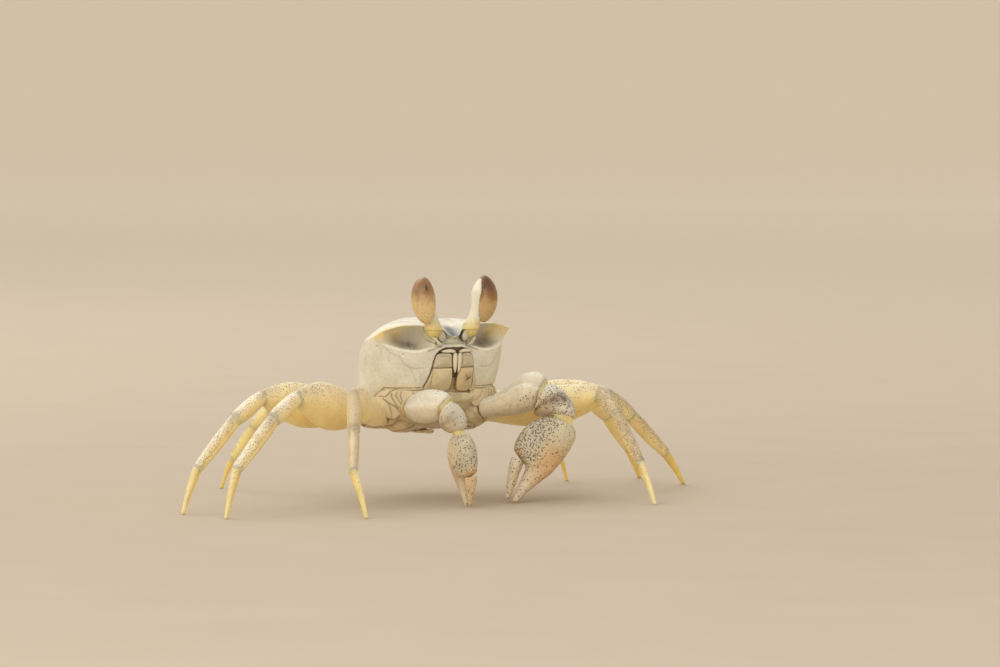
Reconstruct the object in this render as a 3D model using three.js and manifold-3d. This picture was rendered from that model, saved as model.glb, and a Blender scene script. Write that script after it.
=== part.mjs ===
// A ghost crab (Ocypode) as a still, life-size model, standing on eight legs with both claws lowered.
// Millimetres, +Z up, floor at z = 0. The crab faces -Y and its left side is +X.
// Each hard plate of the shell is one closed solid; neighbours keep a narrow joint between them.
import * as THREE from "three";
import { mergeVertices } from "three/addons/utils/BufferGeometryUtils.js";
import Module from "manifold-3d";

const wasm = await Module();
wasm.setup();

// ---------- driving dimensions ----------
const JOINT_GAP = 0.3; // clear space between two plates that meet
const TOE_RADIUS = 0.36; // half thickness of a walking toe where it stands
const CROWN = [0, 0.5, 34.4]; // highest point of the back
const SOCKET = { inner: 3.4, outer: 13.2, depth: 3.1 }; // the eye sockets, either side of the rostrum
const MOUTH = { halfWidth: 6.2, topHalfWidth: 4.1, low: 20.6, high: 29.1, faceY: -13.3, backY: -11.2 };
const STERNUM_TOP = 18.6;

// Half of the carapace as pairs of points: the rim of the back, and the ridge below it where the wall
// starts.
// Each point is how far out, how far forward of the middle of the body, and how high.
const FACE = [
  { rim: [0.0, 13.1, 31.2], ridge: [0.0, 12.9, 29.3] }, // tip of the rostrum
  { rim: [1.1, 12.95, 31.6], ridge: [1.5, 12.9, 29.4] },
  { rim: [2.0, 12.45, 32.6], ridge: [3.1, 12.8, 29.5] },
  { rim: [3.9, 11.6, 33.1], ridge: [4.8, 12.6, 29.2] },
  { rim: [6.8, 11.3, 33.6], ridge: [7.5, 12.0, 28.6] },
  { rim: [10.6, 10.8, 33.5], ridge: [10.9, 10.6, 29.1] },
  { rim: [14.0, 9.6, 32.5], ridge: [13.2, 8.2, 30.1] }, // the tooth at the outer corner of the socket
];
const FLANK = [
  FACE.at(-1),
  { rim: [14.0, 6.8, 31.4], ridge: [13.8, 5.6, 29.6] },
  { rim: [13.2, 1.6, 30.4], ridge: [13.5, 1.2, 28.6] },
  { rim: [10.6, -3.6, 29.8], ridge: [11.2, -3.8, 28.0] },
  { rim: [8.1, -8.2, 29.3], ridge: [8.6, -8.4, 27.5] },
  { rim: [5.9, -11.6, 28.8], ridge: [6.2, -12.0, 27.0] },
  { rim: [0.0, -12.6, 28.7], ridge: [0.0, -13.0, 26.9] },
];

const COLORS = {
  shell: 0xe6dcb4,
  belly: 0xdcc492,
  leg: 0xe9cf7e,
  toe: 0xe2bd5c,
  claw: 0xe3d6b2,
  stalk: 0xeee3b8,
  cornea: 0xb98a4c,
  feeler: 0xcdb67e,
};

// ---------- small helpers ----------
const Z_AXIS = new THREE.Vector3(0, 0, 1);
const radians = THREE.MathUtils.degToRad;
const vec = (x, y, z) => new THREE.Vector3(x, y, z);
const smooth = (from, to, x) => THREE.MathUtils.smoothstep(x, from, to);

/** Value at t (0 to 1) of a smooth line through evenly spaced knots. */
function through(knots, t) {
  const last = knots.length - 1;
  const i = Math.min(last - 1, Math.floor(t * last));
  const u = t * last - i;
  const at = (k) => knots[Math.max(0, Math.min(last, k))];
  const [a, b, c, d] = [at(i - 1), at(i), at(i + 1), at(i + 2)];
  return b + 0.5 * u * (c - a + u * (2 * a - 5 * b + 4 * c - d + u * (3 * (b - c) + d - a)));
}

/** A closed surface through rings of equal count, capped with a fan at both ends. */
function skin(rings, firstPole, lastPole) {
  const count = rings[0].length;
  const middle = (ring) => ring.reduce((sum, p) => sum.add(p), vec(0, 0, 0)).divideScalar(count);
  const points = [...rings.flat(), firstPole ?? middle(rings[0]), lastPole ?? middle(rings.at(-1))];
  const [first, last] = [points.length - 2, points.length - 1];
  const faces = [];
  for (let j = 0; j < count; j++) {
    const k = (j + 1) % count;
    faces.push(first, k, j);
    for (let i = 0; i + 1 < rings.length; i++) {
      const [a, b, c, d] = [i * count + j, i * count + k, (i + 1) * count + k, (i + 1) * count + j];
      faces.push(a, b, c, a, c, d);
    }
    const base = (rings.length - 1) * count;
    faces.push(last, base + j, base + k);
  }
  return facingOut(points, faces);
}

/** A geometry of the points and faces, with the faces turned outwards. */
function facingOut(points, faces) {
  let volume = 0;
  for (let i = 0; i < faces.length; i += 3) {
    const [a, b, c] = [points[faces[i]], points[faces[i + 1]], points[faces[i + 2]]];
    volume += a.dot(b.clone().cross(c));
  }
  if (volume < 0) faces.reverse();
  const geometry = new THREE.BufferGeometry().setFromPoints(points);
  geometry.setIndex(faces);
  return geometry;
}

function toSolid(geometry) {
  const merged = mergeVertices(geometry, 1e-4);
  return new wasm.Manifold(
    new wasm.Mesh({
      numProp: 3,
      vertProperties: merged.getAttribute("position").array,
      triVerts: new Uint32Array(merged.index.array),
    }),
  );
}

function toGeometry(solid) {
  const { numProp, numVert, vertProperties, triVerts } = solid.getMesh();
  const position = new Float32Array(numVert * 3);
  for (let i = 0; i < numVert; i++) {
    position.set(vertProperties.subarray(i * numProp, i * numProp + 3), i * 3);
  }
  return new THREE.BufferGeometry()
    .setAttribute("position", new THREE.BufferAttribute(position, 3))
    .setIndex(new THREE.BufferAttribute(triVerts, 1));
}

const crab = new THREE.Group();
crab.name = "ghost_crab";

function addPlate(name, geometry, color, roughness = 0.55) {
  const material = new THREE.MeshStandardMaterial({ color, roughness, metalness: 0 });
  const mesh = new THREE.Mesh(geometry, material);
  mesh.name = name;
  crab.add(mesh);
  return mesh;
}

// ---------- limb plates ----------
/** How far along `axis` from `point` a plane lies. */
function distanceTo(plane, point, axis) {
  return plane.point.clone().sub(point).dot(plane.normal) / axis.dot(plane.normal);
}

/**
 * One tapering plate of a limb from `start` to `end`. `low` and `high` are how far it reaches below and
 * above its axis and `breadth` is its half thickness, each as knots along its length. Both ends lie on
 * cutting planes.
 */
function limbPlate({ start, end, up, startPlane, endPlane, low, high, breadth, ...shape }) {
  const { rows = 6, sides = 10, keel = 0 } = shape;
  const axis = end.clone().sub(start).normalize();
  const side = axis.clone().cross(up).normalize();
  const rise = side.clone().cross(axis).normalize();
  const rings = [];
  for (let i = 0; i <= rows; i++) {
    const t = i / rows;
    const [bottom, top, thick] = [through(low, t), through(high, t), through(breadth, t)];
    const ring = [];
    for (let k = 0; k < sides; k++) {
      const angle = (2 * Math.PI * k) / sides;
      const squeeze = 1 - keel * Math.max(0, Math.cos(angle));
      const offset = rise
        .clone()
        .multiplyScalar((top - bottom) / 2 + (Math.cos(angle) * (top + bottom)) / 2)
        .addScaledVector(side, Math.sin(angle) * thick * squeeze);
      const place = start.clone().add(offset);
      const near = distanceTo(startPlane, place, axis);
      const far = distanceTo(endPlane, place, axis);
      ring.push(place.addScaledVector(axis, near + (far - near) * t));
    }
    rings.push(ring);
  }
  return skin(rings);
}

/** The two faces of a joint: planes across the bisector of the two directions, half a gap to each side. */
function jointPlanes(point, before, after) {
  const normal = before.clone().add(after).normalize();
  const shifted = (amount) => ({ point: point.clone().addScaledVector(normal, amount), normal });
  return [shifted(-JOINT_GAP / 2), shifted(JOINT_GAP / 2)];
}

const floorPlane = { point: vec(0, 0, 0), normal: Z_AXIS };

/** Direction at an angle forward of sideways and a pitch above level; side is 1 for the crab's left. */
function heading(side, forward, pitch) {
  const [f, p] = [radians(forward), radians(pitch)];
  return vec(side * Math.cos(f) * Math.cos(p), -Math.sin(f) * Math.cos(p), Math.sin(p));
}

// ---------- carapace ----------
const crown = vec(...CROWN);

/** Height of the lower edge of the walls: raised over the claws, lower above the walking legs. */
function lowerEdge(forward) {
  return 18.9 + 1.0 * smooth(3, 7.5, forward) + 1.3 * smooth(7.5, 8.8, forward);
}

/** Points at share `t` of the way along a row of rim and ridge pairs. */
function edgeAt(row, t) {
  const [rim, ridge] = ["rim", "ridge"].map((key) => {
    const [x, forward, z] = [0, 1, 2].map((k) => through(row.map((pair) => pair[key][k]), t));
    return vec(x, -forward, z);
  });
  return { rim, ridge };
}

/** One column of the carapace, from near the crown over the rim, ridge and wall to the lower edge. */
function carapaceColumn(row, t) {
  const { rim, ridge } = edgeAt(row, t);
  const step = 0.03;
  const along = edgeAt(row, Math.min(1, t + step)).ridge.sub(edgeAt(row, Math.max(0, t - step)).ridge);
  const outward = vec(along.y, -along.x, 0).normalize();
  const forward = -rim.y;
  const column = [];
  for (const reach of [0.3, 0.55, 0.74, 0.87, 0.96]) {
    const p = crown.clone().lerp(rim, reach);
    p.z = rim.z + (crown.z - rim.z) * (1 - reach ** 2.8) ** 1.05;
    column.push(p);
  }
  column.push(rim);
  const besideRostrum = smooth(SOCKET.inner - 0.5, SOCKET.inner + 1.2, rim.x);
  const aheadOfTooth = 1 - smooth(SOCKET.outer - 1, SOCKET.outer + 0.7, rim.x);
  const inSocket = besideRostrum * aheadOfTooth * smooth(5, 9, forward);
  const underRostrum = 1 - smooth(2.2, 3.6, rim.x + 20 * Number(forward < 0));
  const hollow = SOCKET.depth * inSocket + 1.2 * underRostrum;
  for (const s of [0.16, 0.5, 0.84]) {
    const p = rim.clone().lerp(ridge, s);
    column.push(p.addScaledVector(outward, -hollow * Math.sin(Math.PI * s) ** 0.6));
  }
  column.push(ridge);
  const low = lowerEdge(forward);
  const atFront = smooth(0, 6, forward);
  for (const s of [0.3, 0.6, 0.85, 1]) {
    const p = ridge.clone().setZ(THREE.MathUtils.lerp(ridge.z, low, s));
    const bulge = THREE.MathUtils.lerp(s ** 0.7 - 0.9 * s ** 8, -1.7 * s ** 2.2, atFront);
    column.push(p.addScaledVector(outward, bulge));
  }
  column.push(ridge.clone().multiplyScalar(0.72).setZ(low + 0.3));
  return column;
}

function carapaceGeometry() {
  const half = [];
  for (let i = 0; i < 12; i++) half.push(carapaceColumn(FACE, i / 12));
  for (let i = 0; i <= 10; i++) half.push(carapaceColumn(FLANK, i / 10));
  const mirrored = half.slice(1, -1).map((column) => column.map((p) => vec(-p.x, p.y, p.z)));
  const columns = [...half, ...mirrored.reverse()];
  const rings = columns[0].map((_, i) => columns.map((column) => column[i]));
  return skin(rings, crown, vec(0, 0, STERNUM_TOP + 1));
}

// ---------- mouth ----------
/** Outer edge of a mouth plate from the bottom to the top, as x and z. */
function mouthEdge(grow) {
  const steps = 8;
  const edge = [];
  for (let i = 0; i <= steps; i++) {
    const t = i / steps;
    const taper = THREE.MathUtils.lerp(MOUTH.topHalfWidth, MOUTH.halfWidth, (1 - t) ** 2.2);
    const shoulder = Math.sqrt(1 - Math.max(0, (t - 0.55) / 0.47) ** 3.6);
    const foot = 0.88 + 0.12 * smooth(0, 0.14, t);
    const z = THREE.MathUtils.lerp(MOUTH.low - grow, MOUTH.high + grow, t);
    edge.push([taper * shoulder * foot + grow, z]);
  }
  return edge;
}

/** A cushion-shaped plate, bulging forward, flat along the middle line of the face. */
function mouthPlate(side) {
  const outline = [...mouthEdge(0), [JOINT_GAP / 2, MOUTH.high], [JOINT_GAP / 2, MOUTH.low]];
  const centre = [2.4, (MOUTH.low + MOUTH.high) / 2];
  const layers = [
    { y: MOUTH.backY, scale: 0.98, bend: 0 },
    { y: MOUTH.faceY + 0.6, scale: 1, bend: 0.03 },
    { y: MOUTH.faceY + 0.15, scale: 0.93, bend: 0.04 },
    { y: MOUTH.faceY, scale: 0.7, bend: 0.04 },
  ];
  const rings = layers.map(({ y, scale, bend }) =>
    outline.map(([x, z]) => {
      const [across, up] = [(x - centre[0]) * scale, (z - centre[1]) * scale];
      return vec(side * (centre[0] + across), y + bend * x * x, centre[1] + up);
    }),
  );
  return skin(rings);
}

/** The opening in the face that both mouth plates stand in. */
function mouthOpening() {
  const edge = mouthEdge(JOINT_GAP);
  const outline = [...edge, ...edge.map(([x, z]) => [-x, z]).reverse()];
  const rings = [MOUTH.backY + 0.7, -20].map((y) => outline.map(([x, z]) => vec(x, y, z)));
  return skin(rings);
}

// ---------- underside ----------
/** The breast plate: a keel-shaped body between the two rows of limb bases. */
function sternumGeometry() {
  const rings = [];
  const rows = 7;
  for (let i = 0; i <= rows; i++) {
    const t = i / rows;
    const y = THREE.MathUtils.lerp(-11.4, 10.8, t);
    const half = through([5.2, 8.2, 9.0, 8.8, 8.2, 7.2, 4.6], t);
    const bottom = through([18.8, 15.4, 13.2, 12.8, 12.8, 13.4, 15.6], t);
    const top = STERNUM_TOP + through([2.1, 1.6, 0.6, 0.1, 0, -0.2, -0.4], t);
    const ring = [];
    for (let k = 0; k < 12; k++) {
      const angle = (2 * Math.PI * k) / 12;
      const [c, s] = [Math.cos(angle), Math.sin(angle)];
      const squareness = 0.62;
      const x = half * Math.sign(c) * Math.abs(c) ** squareness * (1 - 0.16 * Math.max(0, -s));
      const z = (top + bottom) / 2 + ((top - bottom) / 2) * Math.sign(s) * Math.abs(s) ** squareness;
      ring.push(vec(x, y, z));
    }
    rings.push(ring);
  }
  return skin(rings);
}

/** The tail flap, bent from the rear wall down and forward under the breast plate. */
function tailFlap(grow = 0) {
  const path = [
    [18.4, 12.9],
    [15.6, 13.0],
    [13.2, 11.2],
    [12.65, 6.0],
    [12.6, 1.0],
    [12.7, -3.4],
  ];
  const rings = [];
  const rows = 9;
  for (let i = 0; i <= rows; i++) {
    const t = i / rows;
    const [z, y] = [0, 1].map((k) => through(path.map((p) => p[k]), t));
    const ahead = Math.min(1, t + 0.02);
    const behind = Math.max(0, t - 0.02);
    const [dz, dy] = [0, 1].map((k) => {
      const line = path.map((p) => p[k]);
      return through(line, ahead) - through(line, behind);
    });
    const normal = vec(0, -dz, dy).normalize();
    const half = through([6.2, 5.6, 4.6, 3.4, 2.4, 1.0], t) + grow;
    const ring = [];
    for (let k = 0; k < 8; k++) {
      const angle = (2 * Math.PI * k) / 8;
      const p = vec(half * Math.cos(angle), y, z);
      ring.push(p.addScaledVector(normal, (0.45 + grow) * Math.sin(angle)));
    }
    rings.push(ring);
  }
  return skin(rings);
}

// ---------- limbs ----------
const LEG_KINDS = {
  // lengths of merus, carpus, propodus and toe, and depth of each from edge to edge
  first: { lengths: [22, 7.5, 12.5, 9.2], merus: [3.3, 5.0, 6.1, 5.8, 2.9], carpus: 3.1, hand: 2.6 },
  second: { lengths: [24.5, 9, 15, 9.6], merus: [3.6, 6.6, 8.6, 7.9, 3.2], carpus: 3.3, hand: 2.9 },
  third: { lengths: [25, 8.8, 14, 9.3], merus: [3.6, 6.4, 8.2, 7.5, 3.0], carpus: 3.1, hand: 2.7 },
  last: { lengths: [16.5, 6, 9.5, 7.2], merus: [2.8, 4.2, 4.9, 4.2, 2.2], carpus: 2.3, hand: 1.9 },
};

// Where each leg leaves the body, and its stance in degrees: heading and pitch of the merus, heading of the
// carpus and propodus, their pitches, and heading of the toe. Headings are forward of straight sideways.
const LEGS = [
  { name: "leg_r1", kind: "first", side: -1, base: [11.5, 5.5, 16], stance: [47, 14, 61, -57, -31, 108] },
  { name: "leg_r2", kind: "second", side: -1, base: [12.5, 1, 16.5], stance: [29, 10, 30, -23, -34, 30] },
  { name: "leg_r3", kind: "third", side: -1, base: [12.5, -4, 16.5], stance: [17, 9, 24, -25, -37, 24] },
  { name: "leg_r4", kind: "last", side: -1, base: [11, -8, 16], stance: [-45, 2, -79, -37, -45, -79] },
  { name: "leg_l1", kind: "first", side: 1, base: [11.5, 5.5, 16], stance: [36, 10, 91, -30, -43, 91] },
  { name: "leg_l2", kind: "second", side: 1, base: [12.5, 1, 16.5], stance: [32, 6, -25, -27, -33, -25] },
  { name: "leg_l3", kind: "third", side: 1, base: [12.5, -4, 16.5], stance: [13, 2, -37, -22, -32, -37] },
  { name: "leg_l4", kind: "last", side: 1, base: [11, -8, 16], stance: [-4, -2, -24, -31, -38, -24] },
];

const CLAWS = [
  {
    name: "claw_l", // the larger one
    base: vec(7.6, -9.6, 17),
    elbow: vec(15.7, -19.5, 20.2),
    wrist: vec(17.4, -23.4, 15.9),
    tip: vec(7.3, -22.5, 0),
    scale: 1,
    arm: {
      low: [1.6, 2.1, 2.5, 2.6, 2.2],
      high: [1.7, 2.2, 3.3, 4.9, 2.8],
      breadth: [1.7, 2.5, 3.0, 3.0, 2.2],
    },
    broadSide: vec(-0.5, -0.866, 0), // the way the outer face of the hand looks
  },
  {
    name: "claw_r",
    base: vec(-7.9, -10.0, 17.8),
    elbow: vec(-5.8, -20.4, 18.5),
    wrist: vec(-5.1, -23.7, 13.9),
    tip: vec(-4.1, -25.0, 0),
    scale: 0.72,
    arm: {
      low: [2.0, 2.7, 2.8, 2.6, 1.9],
      high: [2.3, 3.1, 3.4, 3.2, 2.2],
      breadth: [2.0, 2.6, 2.8, 2.6, 2.0],
    },
    broadSide: vec(-0.995, -0.1, 0),
  },
];

const limbBases = []; // each limb's first joint, and the point in the breast plate that its hip grows from
const alongX = (side, [x, forward, z]) => vec(side * x, -forward, z);
const levels = (knots, factor) => knots.map((k) => k * factor);

function addWalkingLeg({ name, kind, side, base, stance }) {
  const { lengths, merus, carpus, hand } = LEG_KINDS[kind];
  const [forward, pitch, lowerForward, carpusPitch, handPitch, toeForward] = stance;
  const hip = alongX(side, base);
  const directions = [
    heading(side, forward, pitch),
    heading(side, lowerForward, carpusPitch),
    heading(side, lowerForward, handPitch),
  ];
  const joints = [hip];
  directions.forEach((d, i) => joints.push(joints[i].clone().addScaledVector(d, lengths[i])));
  const drop = joints[3].z;
  const run = Math.sqrt(Math.max(0.5, lengths[3] ** 2 - drop ** 2));
  const toe = joints[3].clone().addScaledVector(heading(side, toeForward, 0), run).setZ(0);
  directions.push(toe.clone().sub(joints[3]).normalize());
  joints.push(toe);

  const hipEnd = hip.clone().addScaledVector(directions[0], JOINT_GAP / 2);
  const hipPlane = { point: hipEnd, normal: directions[0] };
  const root = vec(hip.x * 0.45, hip.y * 0.85, hip.z - 0.6);
  limbBases.push({ root, point: hip, direction: directions[0], radius: merus[0] / 2 });
  const cuts = [0, 1, 2].map((i) => jointPlanes(joints[i + 1], directions[i], directions[i + 1]));
  const plates = [
    {
      label: "merus",
      low: levels(merus, 0.54),
      high: levels(merus, 0.46),
      breadth: levels([0.19, 0.22, 0.22, 0.2, 0.16], merus[2]),
      rows: 6,
      keel: 0.35,
    },
    {
      label: "carpus",
      low: levels([0.44, 0.5, 0.52, 0.46], carpus),
      high: levels([0.44, 0.52, 0.52, 0.46], carpus),
      breadth: levels([0.36, 0.42, 0.42, 0.38], carpus),
      rows: 4,
    },
    {
      label: "propodus",
      low: levels([0.48, 0.52, 0.49, 0.38], hand),
      high: levels([0.48, 0.5, 0.46, 0.36], hand),
      breadth: levels([0.4, 0.42, 0.38, 0.34], hand),
      rows: 5,
    },
    {
      label: "dactyl",
      low: [hand * 0.34, hand * 0.22, hand * 0.12, TOE_RADIUS],
      high: [hand * 0.34, hand * 0.36, hand * 0.28, TOE_RADIUS],
      breadth: [hand * 0.3, hand * 0.26, hand * 0.19, TOE_RADIUS],
      rows: 5,
      sides: 8,
    },
  ];
  plates.forEach(({ label, ...shape }, i) => {
    const startPlane = i === 0 ? hipPlane : cuts[i - 1][1];
    const endPlane = i === 3 ? floorPlane : cuts[i][0];
    const place = { start: joints[i], end: joints[i + 1], up: Z_AXIS, startPlane, endPlane };
    addPlate(`${name}_${label}`, limbPlate({ ...place, ...shape }), i === 3 ? COLORS.toe : COLORS.leg);
  });
}

/** A claw's hand with its fixed finger, and the movable finger above it, in the frame of the hand. */
function addClaw({ name, base, elbow, wrist, tip, scale, arm, broadSide }) {
  const upperArm = elbow.clone().sub(base).normalize();
  const forearm = wrist.clone().sub(elbow).normalize();
  const handAxis = tip.clone().sub(wrist).normalize();
  const root = vec(base.x * 0.75, base.y * 0.5, base.z - 0.6);
  limbBases.push({ root, point: base, direction: upperArm, radius: arm.breadth[0] });
  const shoulder = { point: base.clone().addScaledVector(upperArm, JOINT_GAP / 2), normal: upperArm };
  const [armEnd, forearmStart] = jointPlanes(elbow, upperArm, forearm);
  // The wrist opens towards the hand, so its joint faces the hand more than the forearm.
  const wristLean = 2;
  const [forearmEnd, handStart] = jointPlanes(wrist, forearm, handAxis.clone().multiplyScalar(wristLean));

  const armPlate = limbPlate({
    ...arm,
    start: base,
    end: elbow,
    up: Z_AXIS,
    startPlane: shoulder,
    endPlane: armEnd,
    rows: 6,
    sides: 12,
    keel: 0.4,
  });
  const forearmPlate = limbPlate({
    start: elbow,
    end: wrist,
    up: broadSide,
    startPlane: forearmStart,
    endPlane: forearmEnd,
    low: levels([2.0, 3.1, 3.5, 3.1, 2.0], scale),
    high: levels([2.2, 3.4, 3.6, 3.1, 2.0], scale),
    breadth: levels([2.2, 3.2, 3.6, 3.1, 2.0], scale),
    rows: 5,
    sides: 12,
  });

  // The hand's own frame: along its axis, and `rise` towards the movable finger.
  const rise = handAxis.clone().cross(broadSide).normalize();
  if (rise.x * Math.sign(base.x) > 0) rise.negate();
  const length = tip.distanceTo(wrist);
  const along = (share) => wrist.clone().addScaledVector(handAxis, share * length);
  const across = (share) => ({ point: along(share), normal: handAxis });
  const palmEnd = 0.58;
  const fixedFingerStart = palmEnd - 0.08;
  const movableFingerStart = palmEnd + JOINT_GAP / length;
  const movableFingerEnd = 0.985;
  const hand = { up: rise, sides: 12 };
  const palm = limbPlate({
    ...hand,
    start: wrist,
    end: along(palmEnd),
    startPlane: handStart,
    endPlane: across(palmEnd),
    low: levels([2.3, 4.2, 4.6, 4.5, 4.1, 3.5], scale),
    high: levels([2.8, 4.7, 5.4, 5.5, 5.3, 4.7], scale),
    breadth: levels([1.6, 2.7, 3.2, 3.3, 3.0, 2.4], scale),
    rows: 7,
  });
  const fixedFinger = limbPlate({
    ...hand,
    start: along(fixedFingerStart),
    end: tip,
    startPlane: across(fixedFingerStart),
    endPlane: floorPlane,
    low: levels([3.9, 3.2, 2.3, 1.3, 0.5], scale),
    high: levels([1.5, 1.2, 0.9, 0.6, 0.4], scale),
    breadth: levels([2.3, 1.8, 1.3, 0.9, 0.5], scale),
    rows: 6,
    sides: 10,
  });
  const movableFinger = limbPlate({
    ...hand,
    start: along(movableFingerStart),
    end: along(movableFingerEnd),
    startPlane: across(movableFingerStart),
    endPlane: across(movableFingerEnd),
    low: levels([-1.95, -1.7, -1.4, -1.15, -1.0], scale),
    high: levels([4.5, 4.1, 3.4, 2.6, 1.8], scale),
    breadth: levels([1.8, 1.6, 1.2, 0.8, 0.4], scale),
    rows: 6,
    sides: 10,
  });
  addPlate(`${name}_merus`, armPlate, COLORS.claw);
  addPlate(`${name}_carpus`, forearmPlate, COLORS.claw);
  addPlate(`${name}_hand`, toGeometry(toSolid(palm).add(toSolid(fixedFinger))), COLORS.claw);
  addPlate(`${name}_finger`, movableFinger, COLORS.claw);
}

/** The hip of a limb, from inside the breast plate out to the limb's first joint. */
function limbHip({ root, point, direction, radius }) {
  const endPlane = { point: point.clone().addScaledVector(direction, -JOINT_GAP / 2), normal: direction };
  const half = [2.8, 2.9, radius * 0.95];
  return limbPlate({
    start: root,
    end: point,
    up: Z_AXIS,
    startPlane: { point: root, normal: point.clone().sub(root).normalize() },
    endPlane,
    low: half,
    high: half,
    breadth: half,
    rows: 2,
    sides: 8,
  });
}

// ---------- eyes and feelers ----------
const EYE = {
  base: vec(3.9, -12.0, 32.6),
  bend: vec(5.2, -12.6, 36.2),
  top: vec(6.3, -12.9, 42.1),
  cornea: vec(7.0, -13.4, 38.6),
  corneaSize: vec(2.35, 1.95, 4.5), // along its face, through it, and tall
  corneaCurl: 0.7, // how far its top and bottom bend back towards the stalk
  faces: 52, // degrees outward of straight ahead
};

function eyeStalk(side, grow = 0) {
  const path = new THREE.CatmullRomCurve3([EYE.base, EYE.bend, EYE.top]);
  const rings = [];
  const rows = 8;
  for (let i = 0; i <= rows; i++) {
    const t = i / rows;
    const centre = path.getPointAt(t);
    const half = through([1.8, 1.4, 1.25, 1.55, 1.65, 0.75], t) + grow;
    const ring = [];
    for (let k = 0; k < 10; k++) {
      const angle = (2 * Math.PI * k) / 10;
      const tilt = t * 0.3 * half * Math.cos(angle);
      const across = side * (centre.x + half * Math.cos(angle));
      ring.push(vec(across, centre.y + half * Math.sin(angle), centre.z - tilt));
    }
    rings.push(ring);
  }
  return skin(rings);
}

function cornea(side) {
  const ball = new THREE.SphereGeometry(1, 13, 9).rotateX(Math.PI / 2);
  ball.deleteAttribute("normal");
  ball.deleteAttribute("uv");
  const places = ball.getAttribute("position");
  for (let i = 0; i < places.count; i++) {
    places.setY(i, places.getY(i) + (EYE.corneaCurl / EYE.corneaSize.y) * places.getZ(i) ** 2);
  }
  ball.scale(EYE.corneaSize.x, EYE.corneaSize.y, EYE.corneaSize.z);
  ball.rotateY(radians(side * 6)).rotateZ(radians(side * EYE.faces));
  ball.translate(side * EYE.cornea.x, EYE.cornea.y, EYE.cornea.z);
  return toGeometry(toSolid(ball).subtract(toSolid(eyeStalk(side, JOINT_GAP * 0.6))));
}

/** A short feeler beside the rostrum. */
function feeler(start, end, knots) {
  const axis = end.clone().sub(start).normalize();
  const [startPlane, endPlane] = [start, end].map((point) => ({ point, normal: axis }));
  const shape = { low: knots, high: knots, breadth: knots, rows: 3, sides: 8 };
  return limbPlate({ start, end, up: vec(0, 0.3, 1), startPlane, endPlane, ...shape });
}

// ---------- the whole crab ----------
LEGS.forEach(addWalkingLeg);
CLAWS.forEach(addClaw);

const carapaceSolid = [1, -1].reduce(
  (solid, side) => solid.subtract(toSolid(eyeStalk(side, JOINT_GAP))),
  toSolid(carapaceGeometry()).subtract(toSolid(mouthOpening())),
);
addPlate("carapace", toGeometry(carapaceSolid), COLORS.shell);

const sternumSolid = limbBases
  .reduce((solid, base) => solid.add(toSolid(limbHip(base))), toSolid(sternumGeometry()))
  .subtract(toSolid(tailFlap(JOINT_GAP)));
addPlate("sternum", toGeometry(sternumSolid), COLORS.belly);
addPlate("abdomen", tailFlap(), COLORS.belly);

for (const [label, side] of [
  ["r", -1],
  ["l", 1],
]) {
  addPlate(`maxilliped_${label}`, mouthPlate(side), COLORS.belly);
  addPlate(`eyestalk_${label}`, eyeStalk(side), COLORS.stalk);
  addPlate(`cornea_${label}`, cornea(side), COLORS.cornea, 0.25);
  const antennule = feeler(vec(side * 2.2, -12.9, 30.3), vec(side * 2.4, -13.1, 32.3), [0.5, 0.75, 0.5]);
  addPlate(`antennule_${label}`, antennule, COLORS.feeler);
  const antenna = feeler(vec(side * 3.9, -13.1, 29.9), vec(side * 5.3, -12.8, 31.4), [0.55, 0.45, 0.3]);
  addPlate(`antenna_${label}`, antenna, COLORS.feeler);
}

// The origin is on the floor, under the middle of the box around the whole crab.
const box = new THREE.Box3().setFromObject(crab);
const middle = box.getCenter(vec(0, 0, 0));
crab.position.set(-middle.x, -middle.y, -box.min.z);

export default crab;
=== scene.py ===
# %% [markdown]
# # A ghost crab on its toes
# A ghost crab is a box-shaped body carried high on eight thin legs, with two claws and two tall eyes in
# front. The solids that come with the frame already hold every plate at its size and in its place, so this
# lesson gives each plate its true surface: rounded lips, sutures, pits, soft joints and a translucent shell.

# %% Load the frame
import math

import bpy
import numpy as np
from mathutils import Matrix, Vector


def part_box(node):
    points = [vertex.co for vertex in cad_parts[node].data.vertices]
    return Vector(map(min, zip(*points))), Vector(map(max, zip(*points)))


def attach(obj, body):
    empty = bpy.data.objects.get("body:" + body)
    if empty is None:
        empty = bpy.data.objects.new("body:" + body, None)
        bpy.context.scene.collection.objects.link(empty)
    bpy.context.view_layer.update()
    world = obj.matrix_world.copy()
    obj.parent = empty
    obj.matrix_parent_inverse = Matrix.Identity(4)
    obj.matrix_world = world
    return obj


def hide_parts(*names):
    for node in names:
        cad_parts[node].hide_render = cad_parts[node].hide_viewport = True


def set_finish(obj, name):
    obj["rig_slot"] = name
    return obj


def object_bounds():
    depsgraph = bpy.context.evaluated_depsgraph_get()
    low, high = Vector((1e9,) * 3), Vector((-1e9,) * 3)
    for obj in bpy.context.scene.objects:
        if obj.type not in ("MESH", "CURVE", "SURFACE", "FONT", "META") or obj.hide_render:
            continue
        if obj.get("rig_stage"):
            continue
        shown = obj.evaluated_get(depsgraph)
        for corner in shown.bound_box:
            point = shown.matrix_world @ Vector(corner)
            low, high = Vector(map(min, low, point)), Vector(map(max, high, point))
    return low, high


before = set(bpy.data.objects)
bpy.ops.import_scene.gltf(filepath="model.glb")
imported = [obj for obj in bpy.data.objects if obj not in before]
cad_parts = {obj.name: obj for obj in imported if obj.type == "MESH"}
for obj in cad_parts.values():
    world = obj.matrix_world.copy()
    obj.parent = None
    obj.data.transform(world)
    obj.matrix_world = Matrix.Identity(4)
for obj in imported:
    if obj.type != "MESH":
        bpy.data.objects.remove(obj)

CAD_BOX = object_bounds()
print("the solids reach from", [round(c, 4) for c in CAD_BOX[0]], "to", [round(c, 4) for c in CAD_BOX[1]])

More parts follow.
